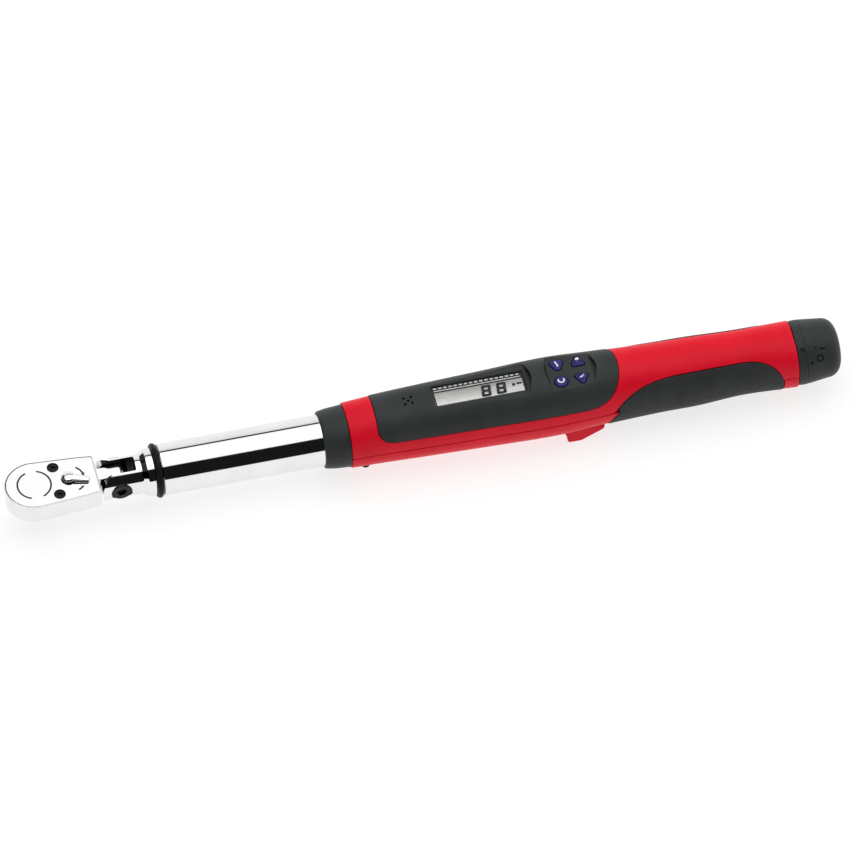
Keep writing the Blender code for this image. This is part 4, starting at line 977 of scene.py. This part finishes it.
def lofted(name, stations, limits, outer, inner, samples, edge=0.4 * MM, shift=None, ends=True):
    """A curved wall between two surfaces about the axis, its outer edges rounded all round."""
    if ends:
        start, stop = stations[0], stations[-1]
        body = [x for x in stations if start + edge < x < stop - edge]
        stations = ([start + d for d in rim_samples(edge)] + [start + edge] + body
                    + [stop - edge] + [stop - d for d in reversed(rim_samples(edge))])
    bm = bmesh.new()
    rings = []
    for x in stations:
        low, high = limits(x)
        degrees = math.degrees(1 / skin_radius(x, (low + high) / 2))
        rim = [d * degrees for d in rim_samples(edge)]
        span = edge * degrees
        if high - low < 2.2 * span:
            rim = [d * (high - low) / (2.2 * span) for d in rim]
            span = (high - low) / 2.2
        middle = spaced(low + span, high - span, samples + 1)
        angles = [low + d for d in rim] + middle + [high - d for d in reversed(rim)]
        end_drop = rounded_drop(min(x - stations[0], stations[-1] - x), edge) if ends else 0.0
        points = []
        for a in angles:
            side = min(a - low, high - a) / degrees
            points.append((a, outer(x, a) - max(end_drop, rounded_drop(side, edge))))
        points += [(a, inner(x, a)) for a in reversed(angles)]
        rings.append([bm.verts.new(skin_point(x + (shift(x, a) if shift else 0), a, radius))
                      for a, radius in points])
    size = len(rings[0])
    for first, second in zip(rings, rings[1:]):
        for i in range(size):
            j = (i + 1) % size
            bm.faces.new((first[i], first[j], second[j], second[i]))
    half = size // 2
    for end in (rings[0], rings[-1]):
        for i in range(half - 1):
            bm.faces.new((end[i], end[i + 1], end[-2 - i], end[-1 - i]))
    return smooth_mesh(name, bm, 40)


def panel_stations(count=1):
    return (
        eased(PANEL_START, PANEL_START + PANEL_CORNER, 9 * count, False)
        + spaced(190 * MM, PANEL_ROUND_START, 40 * count)[0:]
        + eased(PANEL_ROUND_START + 0.8 * MM, PANEL_END - 0.02 * MM, 18 * count, True)
    )


# ---------------------------------------------------------------- housing pieces


def add_upper_shell():
    stations = spaced(HOUSING_START, 304 * MM, 60) + eased(305 * MM, 345 * MM, 26, False)
    stations += spaced(350 * MM, 380 * MM, 12) + eased(381 * MM, 393.4 * MM, 16, True)
    stations += [393.9 * MM, 394.3 * MM, 397 * MM, 400 * MM, HOUSING_END]

    def limits(x):
        edge = max(grip_edge(x) + 1.3, PARTING) if x < GRIP_END else PARTING
        return edge, 180 - edge

    mesh = lofted("red_upper_housing", stations, limits, skin_radius,
                  lambda x, a: skin_radius(x, a) - WALL, 48)
    shell = piece("red_upper_housing", mesh, RED, "handle", ["upper_shell"])
    stretch = (PANEL_END - PANEL_START + 0.6 * MM) / (PANEL_END - PANEL_START)
    middle = (PANEL_START + PANEL_END) / 2

    def opening_limits(x):
        edge = panel_edge(middle + (x - middle) / stretch) - 0.9
        return edge, 180 - edge

    opening = lofted("opening", [middle + (x - middle) * stretch for x in panel_stations()],
                     opening_limits, lambda x, a: skin_radius(x, a) + 4 * MM,
                     lambda x, a: skin_radius(x, a) - 5 * MM, 40, edge=0.001 * MM, ends=False)
    boolean(shell, opening)
    for x, y in HOUSING_SCREWS:
        top = 12.3 * MM if x < PANEL_START else 6.5 * MM
        boolean(shell, cylinder(2.2 * MM, -7 * MM, top, steps=32), "UNION", (x, y, 0))
        if x > PANEL_START:
            side = math.copysign(1, y)
            low, high = sorted((y, side * 18 * MM))
            web = plate("web", box_outline(x - 1 * MM, x + 1 * MM, low, high, 0), 1 * MM, 5.5 * MM)
            boolean(shell, web, "UNION")
        boolean(shell, cylinder(1.3 * MM, -9 * MM, 3 * MM, steps=24), "DIFFERENCE", (x, y, 0))


def add_lower_shell():
    stations = spaced(HOUSING_START, 296 * MM, 50) + spaced(298 * MM, GRIP_START - 0.15 * MM, 6)
    stations += [GRIP_START + 0.15 * MM] + eased(306.5 * MM, 345 * MM, 24, False)
    stations += spaced(350 * MM, 380 * MM, 12) + eased(381 * MM, 393.2 * MM, 14, True)
    stations += [393.6 * MM, 393.9 * MM, 394.3 * MM, 397 * MM, 400 * MM, HOUSING_END]
    recess_start, recess_end = GRIP_START, 393.75 * MM

    def limits(x):
        edge = max(grip_edge(x) - 1.0, -PARTING) if recess_start < x < GRIP_END else -PARTING
        return -180 - edge, edge

    def outer(x, angle):
        recessed = recess_start < x < recess_end
        return skin_radius(x, angle) - (GRIP_THICKNESS + 0.5 * MM if recessed else 0)

    def inner(x, angle):
        carries_grip = GRIP_START - 8 * MM < x < 394 * MM
        return skin_radius(x, angle) - WALL - (1.7 * MM if carries_grip else 0)

    mesh = lofted("red_lower_housing", stations, limits, outer, inner, 72, shift=belly_shift)
    shell = piece("red_lower_housing", mesh, RED, "handle", ["lower_shell"])
    foot = filleted([
        (277.2 * MM, -14.5 * MM, 0), (278.8 * MM, -19.5 * MM, 4 * MM), (279.6 * MM, -24.0 * MM, 1.2 * MM),
        (286.8 * MM, -24.0 * MM, 2.5 * MM), (298.9 * MM, -17.3 * MM, 1.5 * MM), (299.2 * MM, -13.6 * MM, 0),
        (278.0 * MM, -13.6 * MM, 0),
    ])
    boolean(shell, side_plate("foot", foot, 13.2 * MM, 1.4 * MM), "UNION")
    for i, (x, y) in enumerate(HOUSING_SCREWS, 1):
        boolean(shell, cylinder(1.4 * MM, -25 * MM, -5 * MM, steps=32), location=(x, y, 0))
        boolean(shell, cylinder(2.5 * MM, -30 * MM, -12.3 * MM), location=(x, y, 0))
        mesh, socket = socket_screw(f"case_screw_{i}", 2.3 * MM, 12.6 * MM, 13.9 * MM, 1.1 * MM,
                                    -2 * MM, 1.1 * MM, 0.7 * MM, 0.4 * MM)
        down = Matrix.Rotation(math.pi, 4, "X")
        mesh.transform(down)
        socket.transform(down)
        screw = piece(f"case_screw_{i}", mesh, BLACK_STEEL, "handle",
                      [f"housing_screw_{i}"], (x, y, 0))
        boolean(screw, socket, location=(x, y, 0), turn=0.4 * i)


def add_grip():
    stations = [GRIP_START + 0.3 * MM] + eased(306.5 * MM, 345 * MM, 30, False)
    stations += spaced(348 * MM, 380 * MM, 14) + eased(381 * MM, GRIP_END, 20, True)
    mesh = lofted(
        "grip_sleeve", stations, lambda x: (-180 - grip_edge(x), grip_edge(x)),
        lambda x, a: skin_radius(x, a) + 0.28 * MM, lambda x, a: skin_radius(x, a) - GRIP_THICKNESS,
        84, edge=0.55 * MM, shift=belly_shift,
    )
    piece("grip_sleeve", mesh, RUBBER, "handle", ["rubber_grip"])


def crescent_outline(x0, x1, half, bow_front, bow_rear):
    """A rectangle whose front and rear ends bow outwards by their own amounts."""
    def bowed(x, bow, start, end):
        steps = 24
        return [(x + bow * (1 - (2 * i / steps - 1) ** 2), start + (end - start) * i / steps)
                for i in range(steps + 1)]

    return bowed(x1, bow_rear, -half, half) + bowed(x0, -bow_front, half, -half)


def channel_outline(x, bow, width):
    """A narrow crescent along the bowed end of a flat, widest in its middle."""
    steps, reach, tip = 24, 7.6 * MM, 0.12 * MM
    spots = [(1 - (2 * i / steps - 1) ** 2, reach * (2 * i / steps - 1)) for i in range(steps + 1)]
    rear = [(x + bow * s + (tip + width * s) / 2, y) for s, y in spots]
    front = [(x + bow * s - (tip + width * s) / 2, y) for s, y in reversed(spots)]
    return rear + front


def button_outlines():
    """Four button caps: a shield and a triangle on the far side, a disc and a triangle nearer."""

    def rounded(corners, radius):
        points = []
        for (x, y), start in corners:
            points += arc((x * MM, y * MM), radius * MM, start, start + 120, 12)
        return points

    up = rounded((((-2.3, -1.7), 150), ((2.3, -1.7), 270), ((0, 2.2), 30)), 1.3)
    down = [(x, -y) for x, y in reversed(up)]
    shield = rounded((((-1.7, 1.2), 90), ((0, -1.6), 210), ((1.7, 1.2), -30)), 2.0)
    disc = arc((0, 0), 3.5 * MM, 0, 354, 59)
    return {
        "button_down": ((BUTTON_X[0], BUTTON_Y), shield),
        "button_up": ((BUTTON_X[1], BUTTON_Y), up),
        "button_units": ((BUTTON_X[0], -BUTTON_Y), disc),
        "button_power": ((BUTTON_X[1], -BUTTON_Y), down),
    }


def counterclockwise(outline):
    area = sum(a[0] * b[1] - b[0] * a[1] for a, b in zip(outline, outline[1:] + outline[:1]))
    return outline if area > 0 else list(reversed(outline))


def add_panel():
    def inner(x, angle):
        flat = PANEL_UNDERSIDE / max(math.sin(math.radians(angle)), 0.1)
        return min(skin_radius(x, angle) - WALL, flat)

    mesh = lofted("control_panel", panel_stations(), lambda x: (panel_edge(x), 180 - panel_edge(x)),
                  lambda x, a: skin_radius(x, a) + PANEL_PROUD, inner, 64, edge=0.5 * MM)
    panel = piece("control_panel", mesh, DARK_PLASTIC, "handle", ["display_panel"])
    far = 30 * MM
    half = 11 * MM
    flats = (
        crescent_outline(207.4 * MM, 259.5 * MM, half, 0.4 * MM, 2.6 * MM),
        crescent_outline(272.2 * MM, 293.7 * MM, half, 2.2 * MM, 2.9 * MM),
    )
    for outline in flats:
        boolean(panel, stacked("flat", outline, edge_rings(PANEL_FLAT, far, 0.35 * MM, 0)))
    # Narrow channels at the bowed ends of the flats, filled with painted shadow of the step walls.
    for x, bow, width in ((260.2, 1.4, 1.7), (271.7, -1.2, 1.4), (294.5, 1.5, 1.7)):
        channel = plate("channel", channel_outline(x * MM, bow * MM, width * MM), PANEL_FLAT - 0.7 * MM, far)
        boolean(panel, channel, material=PAINTED_GROOVE_SHADE)
    for i in range(5):
        reach = SOUND_HOLE_REACH if i < 4 else 0
        turn = math.radians(45 + 90 * i)
        spot = (SPEAKER_X + reach * math.cos(turn), reach * math.sin(turn), 0)
        boolean(panel, cylinder(SOUND_HOLE_RADIUS, 10 * MM, far, steps=20), location=spot)
    for (x, y), outline in button_outlines().values():
        hole = plate("hole", shrunk(counterclockwise(outline), -0.3 * MM), 10 * MM, far)
        boolean(panel, hole, location=(x, y, 0))
    frame_edge = 0.5 * MM
    window = box_outline(WINDOW_X[0], WINDOW_X[1], -WINDOW_HALF, WINDOW_HALF, 0.7 * MM)
    rings = [(0, 10 * MM), (0, PANEL_FLAT - frame_edge), (-frame_edge, PANEL_FLAT),
             (-2 * frame_edge, PANEL_FLAT + frame_edge)]
    boolean(panel, stacked("window", window, rings))


def add_display():
    """Display module: a black scale strip over a silver field with two digits, under a clear lens."""
    x0, x1 = WINDOW_X
    half = WINDOW_HALF - 0.2 * MM
    outline = box_outline(x0 - 1.9 * MM, x1 + 1.9 * MM, -6.8 * MM, 6.8 * MM, 0.4 * MM)
    module = plate("display_unit", outline, 13.5 * MM, 16.8 * MM, 0.1 * MM, 0.1 * MM)
    unit = piece("display_unit", module, LCD, "handle", ["display_module"])
    top = 18.1 * MM
    glass = box_outline(x0 + 0.2 * MM, x1 - 0.2 * MM, -half, half, 0.5 * MM)
    boolean(unit, plate("glass", glass, 16 * MM, top, 0, 0.05 * MM), "UNION")
    marks = {"strip": [], "scale": [], "digits": []}

    def bar(kind, low_x, high_x, low_y, high_y, lean=0.0):
        outline = [(low_x, low_y), (high_x, low_y), (high_x, high_y), (low_x, high_y)]
        marks[kind].append([(x + lean * y, y) for x, y in outline])

    left, right, far, near = x0 + 0.25 * MM, x1 - 0.25 * MM, half - 0.05 * MM, 0.05 * MM - half
    bar("strip", left, right, 2.6 * MM, far)
    bar("strip", left, x0 + 1.0 * MM, near, 2.6 * MM)
    bar("strip", x1 - 1.0 * MM, right, near, 2.6 * MM)
    bar("strip", x0 + 1.0 * MM, x1 - 1.0 * MM, near, near + 0.35 * MM)
    for i in range(17):
        start = x0 + 1.1 * MM + i * 2.72 * MM
        bar("scale", start, start + 1.75 * MM, 4.95 * MM, 5.75 * MM)
    bar("scale", x0 + 1.1 * MM, x1 - 1.6 * MM, 3.5 * MM, 4.0 * MM)
    lean, stroke, tall, wide = 0.12, 1.6 * MM, 7.4 * MM, 5.2 * MM
    bottom = -5.3 * MM
    for start in (x0 + 25.3 * MM, x0 + 33.3 * MM):
        for level in (0, tall / 2 - stroke / 2, tall - stroke):
            bar("digits", start + stroke * 0.5, start + wide - stroke * 0.5, bottom + level,
                bottom + level + stroke, lean)
        for side in (start, start + wide - stroke):
            for low in (bottom + 0.3 * MM, bottom + tall / 2 + 0.1 * MM):
                bar("digits", side, side + stroke, low, low + tall / 2 - 0.4 * MM, lean)
    bar("digits", x0 + 41.6 * MM, x0 + 43.2 * MM, -1.6 * MM, 0.1 * MM)
    bar("digits", x0 + 43.9 * MM, x0 + 46.8 * MM, -1.1 * MM, 0.1 * MM)
    inks = {"strip": (DARK_INK, 0.06), "scale": (WHITE_INK, 0.12), "digits": (DARK_INK, 0.09)}
    for kind, outlines in marks.items():
        material, height = inks[kind]
        mesh = mark_mesh(f"display_{kind}", outlines, top + 0.02 * MM, top + height * MM)
        piece(f"display_{kind}", mesh, material, "handle", flat=False)
    clear = 0.12 * MM
    lens = box_outline(x0 + clear, x1 - clear, clear - WINDOW_HALF, WINDOW_HALF - clear, 0.6 * MM)
    lens = plate("display_window", lens, 18.35 * MM, PANEL_FLAT - 0.45 * MM, 0.05 * MM, 0.15 * MM)
    piece("display_window", lens, LENS, "handle", ["display_lens"])


def mark_mesh(name, outlines, low, high):
    bm = bmesh.new()
    for outline in outlines:
        outline = counterclockwise(outline)
        bottom = [bm.verts.new((x, y, low)) for x, y in outline]
        top = [bm.verts.new((x, y, high)) for x, y in outline]
        bm.faces.new(top)
        bm.faces.new(list(reversed(bottom)))
        for i in range(len(outline)):
            j = (i + 1) % len(outline)
            bm.faces.new((bottom[i], bottom[j], top[j], top[i]))
    return smooth_mesh(name, bm)


def capsule(start, end, width):
    """A bar with round ends between two points in millimetres."""
    a, b = Vector(start) * MM, Vector(end) * MM
    turn = math.degrees(math.atan2((b - a).y, (b - a).x))
    radius = width * MM / 2
    return arc(b, radius, turn - 90, turn + 90, 8) + arc(a, radius, turn + 90, turn + 270, 8)


def add_buttons():
    """Domed caps with a printed white sign each: a bar, a diamond, an open ring and a hook."""
    signs = {
        "button_down": [capsule((-0.45, 1.7), (0.35, -1.2), 0.85)],
        "button_up": [capsule((-0.35, 1.0), (0.45, 1.3), 1.45)],
        "button_units": [
            [(x, y + 0.5 * MM) for x, y in sector(1.5 * MM, 0.85 * MM, 150, 390, 24)]
        ],
        "button_power": [capsule((-0.9, 0.1), (0.9, 0.9), 0.7), capsule((0.9, 0.9), (1.0, 1.6), 0.6)],
    }
    dome = 0.35 * MM
    for name, ((x, y), outline) in button_outlines().items():
        outline = counterclockwise(outline)
        rings = [(-0.85 * MM, BUTTON_FLANGE[0]), (-0.85 * MM, BUTTON_FLANGE[1]), (0, BUTTON_FLANGE[1])]
        rings += [(inset, height) for inset, height in
                  edge_rings(BUTTON_FLANGE[1], BUTTON_TOP - dome, 0, 0.5 * MM)[1:]]
        rings += [(0.5 * MM + 0.9 * MM * s, BUTTON_TOP - dome + dome * math.sin(s * math.pi / 2))
                  for s in (0.33, 0.66, 1.0)]
        cap = stacked(name + "_cap", shrunk(outline, 0.2 * MM), rings, 40)
        piece(name + "_cap", cap, BUTTON, name, [name], (x, y, 0), flat=False)
        sign = mark_mesh(name + "_sign", signs[name], BUTTON_TOP - 0.2 * MM, BUTTON_TOP + 0.03 * MM)
        piece(name + "_sign", sign, WHITE_INK, name, (), (x, y, 0), flat=False)


def add_cap():
    """Battery cap: domed end, a lip at the housing, a seal groove and moulded signs."""
    start = CAP_START
    dome = [(15.6 * MM * math.cos(a) ** 0.5, 418 * MM + 8.0 * MM * math.sin(a))
            for a in (math.radians(90 - 90 * i / 24) for i in range(25))]
    dome[0] = (0, CAP_END)
    body = filleted([
        (dome[-1][0], dome[-1][1], 0), (16.7 * MM, 409 * MM, 20 * MM), (17.05 * MM, 404.6 * MM, 3 * MM),
        (16.7 * MM, start, 0.4 * MM), (10.05 * MM, start, 0), (10.05 * MM, 398 * MM, 0.1 * MM),
        (9.3 * MM, 398 * MM, 0.1 * MM), (9.3 * MM, 396.6 * MM, 0.1 * MM),
        (10.05 * MM, 396.6 * MM, 0.1 * MM), (10.05 * MM, 390 * MM, 0.3 * MM), (8.7 * MM, 390 * MM, 0.3 * MM),
        (8.7 * MM, 414 * MM, 0.5 * MM), (0, 414 * MM, 0),
    ], closed=False, steps=6)
    cap = piece("end_cap", turned("end_cap", dome + body[1:], 128, "X", closed=False), DARK_PLASTIC,
                "battery_cap", ["battery_cap"])
    groove = torus_mesh("cap_groove", 16.95 * MM, 0.3 * MM, "X", 128, 12)
    boolean(cap, groove, location=(406.3 * MM, 0, 0))
    seal = torus_mesh("cap_ring", 9.78 * MM, 0.42 * MM, "X", 96, 16)
    piece("cap_ring", seal, SEAL, "battery_cap", ["cap_seal"], (397.3 * MM, 0, 0))
    signs = (
        (404.4 * MM, 54, cylinder(1.5 * MM, 15.9 * MM, 20 * MM, steps=40)),
        (413.2 * MM, 35, turned("ring_sign", tube_profile(1.3 * MM, 1.9 * MM, 15.2 * MM, 20 * MM, 0),
                                48, "Z")),
        (408.6 * MM, 28, cylinder(0.7 * MM, 15.7 * MM, 20 * MM, steps=24)),
        (411.4 * MM, 56, plate("bar_sign", capsule((-0.4, 0.0), (0.6, 0.0), 0.7), 15.3 * MM, 20 * MM)),
        (415.2 * MM, 52, plate("bar_sign", capsule((-1.3, 0.0), (1.1, 0.0), 0.7), 14.9 * MM, 20 * MM)),
    )
    for x, angle, tool in signs:
        tool.transform(Matrix.Rotation(math.radians(90 - angle), 4, "X"))
        boolean(cap, tool, location=(x, 0, 0))


# ---------------------------------------------------------------- carried-over nodes


CARRIED = {
    "steel": (STEEL, ["ball_spring", "pawl", "detent_ball", "detent_spring", "beam_pin", "front_contact",
                      "cap_spring", "handle_tube"]),
    "bronze": (BRONZE, ["strain_gauge_1", "strain_gauge_2"]),
    "seal": (SEAL, ["gauge_cable"]),
    "rubber": (RUBBER, ["keypad_mat"]),
    "circuit": (CIRCUIT, ["main_board"]),
    "dark": (DARK_PLASTIC, ["buzzer"]),
    "battery": (BATTERY, ["battery_1", "battery_2", "battery_3"]),
    "white": (WHITE_PLASTIC, ["contact_plate", "contact_carrier"]),
}


def finish_carried_nodes():
    for material, names in CARRIED.values():
        for name in names:
            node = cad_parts[name]
            for slot in node.material_slots:
                slot.material = material


# ---------------------------------------------------------------- floor, light and camera


def add_floor():
    bm = bmesh.new()
    bmesh.ops.create_grid(bm, x_segments=1, y_segments=1, size=6.0)
    mesh = bpy.data.meshes.new("floor")
    bm.to_mesh(mesh)
    bm.free()
    floor = bpy.data.objects.new("floor", mesh)
    floor.location = (0, 0, FLOOR_Z - 0.2 * MM)
    bpy.context.scene.collection.objects.link(floor)
    made = Shader("pale_floor")
    made.set("Base Color", (0.30, 0.30, 0.30, 1))
    made.set("Roughness", 0.8)
    made.set("Specular IOR Level", 0.0)
    made.set("Emission Color", (1.0, 1.0, 1.0, 1))
    made.set("Emission Strength", 0.78)
    mesh.materials.append(made.material)


def add_world():
    """A white tent: bright overhead, dark on the near side up to the softbox, pale elsewhere."""
    world = bpy.data.worlds.new("studio")
    world.use_nodes = True
    bpy.context.scene.world = world
    tree = world.node_tree
    tree.nodes.clear()
    coords = tree.nodes.new("ShaderNodeTexCoord")
    parts = tree.nodes.new("ShaderNodeSeparateXYZ")
    tree.links.new(coords.outputs["Generated"], parts.inputs["Vector"])

    def math_node(operation, *values):
        node = tree.nodes.new("ShaderNodeMath")
        node.operation = operation
        for socket, value in zip(node.inputs, values):
            if isinstance(value, (int, float)):
                socket.default_value = value
            else:
                tree.links.new(value, socket)
        return node.outputs[0]

    def step(value, start, end):
        node = tree.nodes.new("ShaderNodeMapRange")
        node.interpolation_type = "SMOOTHSTEP"
        node.inputs["From Min"].default_value = start
        node.inputs["From Max"].default_value = end
        tree.links.new(value, node.inputs["Value"])
        return node.outputs["Result"]

    elevation = math_node("ARCTAN2", parts.outputs["Z"], math_node("MULTIPLY", parts.outputs["Y"], -1))
    degrees = math_node("MULTIPLY", elevation, math.degrees(1))
    ramp = tree.nodes.new("ShaderNodeValToRGB")
    tree.links.new(math_node("DIVIDE", degrees, 180), ramp.inputs["Fac"])
    stops = (
        (0.0, 0.85), (0.016, 0.85), (0.020, 0.008), (0.336, 0.008), (0.350, 1.0), (0.725, 1.0),
        (0.731, 0.01), (0.770, 0.01), (0.776, 0.66), (0.84, 0.80), (1.0, 0.88),
    )
    while len(ramp.color_ramp.elements) < len(stops):
        ramp.color_ramp.elements.new(0.5)
    for element, (place, value) in zip(ramp.color_ramp.elements, stops):
        element.position = place
        element.color = (value, value, value, 1)
    leftward = math_node("MULTIPLY", parts.outputs["X"], -1)
    side = step(leftward, 0.40, 0.55)
    low = math_node("SUBTRACT", 1, step(parts.outputs["Z"], 0.60, 0.80))
    shade = math_node("SUBTRACT", 1, math_node("MULTIPLY", math_node("MULTIPLY", side, low), 0.97))
    dimmed = tree.nodes.new("ShaderNodeVectorMath")
    dimmed.operation = "SCALE"
    tree.links.new(ramp.outputs["Color"], dimmed.inputs[0])
    tree.links.new(shade, dimmed.inputs["Scale"])
    glow = tree.nodes.new("ShaderNodeBackground")
    tree.links.new(dimmed.outputs[0], glow.inputs["Color"])
    glow.inputs["Strength"].default_value = 1.2
    plain = tree.nodes.new("ShaderNodeBackground")
    plain.inputs["Color"].default_value = (0.93, 0.93, 0.93, 1)
    path = tree.nodes.new("ShaderNodeLightPath")
    mix = tree.nodes.new("ShaderNodeMixShader")
    tree.links.new(path.outputs["Is Camera Ray"], mix.inputs["Fac"])
    tree.links.new(glow.outputs[0], mix.inputs[1])
    tree.links.new(plain.outputs[0], mix.inputs[2])
    output = tree.nodes.new("ShaderNodeOutputWorld")
    tree.links.new(mix.outputs[0], output.inputs["Surface"])


def add_light(name, location, size, power, target):
    light = bpy.data.lights.new(name, "AREA")
    light.shape = "RECTANGLE"
    light.size, light.size_y = size
    light.energy = power
    lamp = bpy.data.objects.new(name, light)
    lamp.location = location
    lamp.rotation_euler = (Vector(target) - Vector(location)).to_track_quat("-Z", "Y").to_euler()
    bpy.context.scene.collection.objects.link(lamp)


def add_camera():
    azimuth, elevation = math.radians(CAMERA_AZIMUTH), math.radians(CAMERA_ELEVATION)
    back = Vector((math.sin(azimuth) * math.cos(elevation), -math.cos(azimuth) * math.cos(elevation),
                   math.sin(elevation)))
    turn = back.to_track_quat("Z", "Y")
    up = turn @ Vector((0, 1, 0))
    aim = PLACE + Vector((AIM_X, 0, 0)) - up * AIM_DROP
    camera = bpy.data.cameras.new("camera")
    camera.lens = CAMERA_LENS
    camera.sensor_width = 36.0
    camera.clip_end = 50.0
    holder = bpy.data.objects.new("camera", camera)
    holder.location = aim + back * CAMERA_DISTANCE
    holder.rotation_euler = turn.to_euler()
    bpy.context.scene.collection.objects.link(holder)
    bpy.context.scene.camera = holder


add_camera()
add_head()
add_cover()
add_cover_screws()
add_lever()
add_drive()
add_flex_joint()
add_yoke()
add_tube()
add_upper_shell()
add_lower_shell()
add_grip()
add_panel()
add_display()
add_buttons()
add_cap()
finish_carried_nodes()
add_floor()
add_world()
centre = (AIM_X, 0, 0)
add_light("overhead_softbox", (0.2, 0.15, 1.6), (2.2, 1.4), 6, centre)
bpy.context.scene.view_settings.view_transform = "Standard"
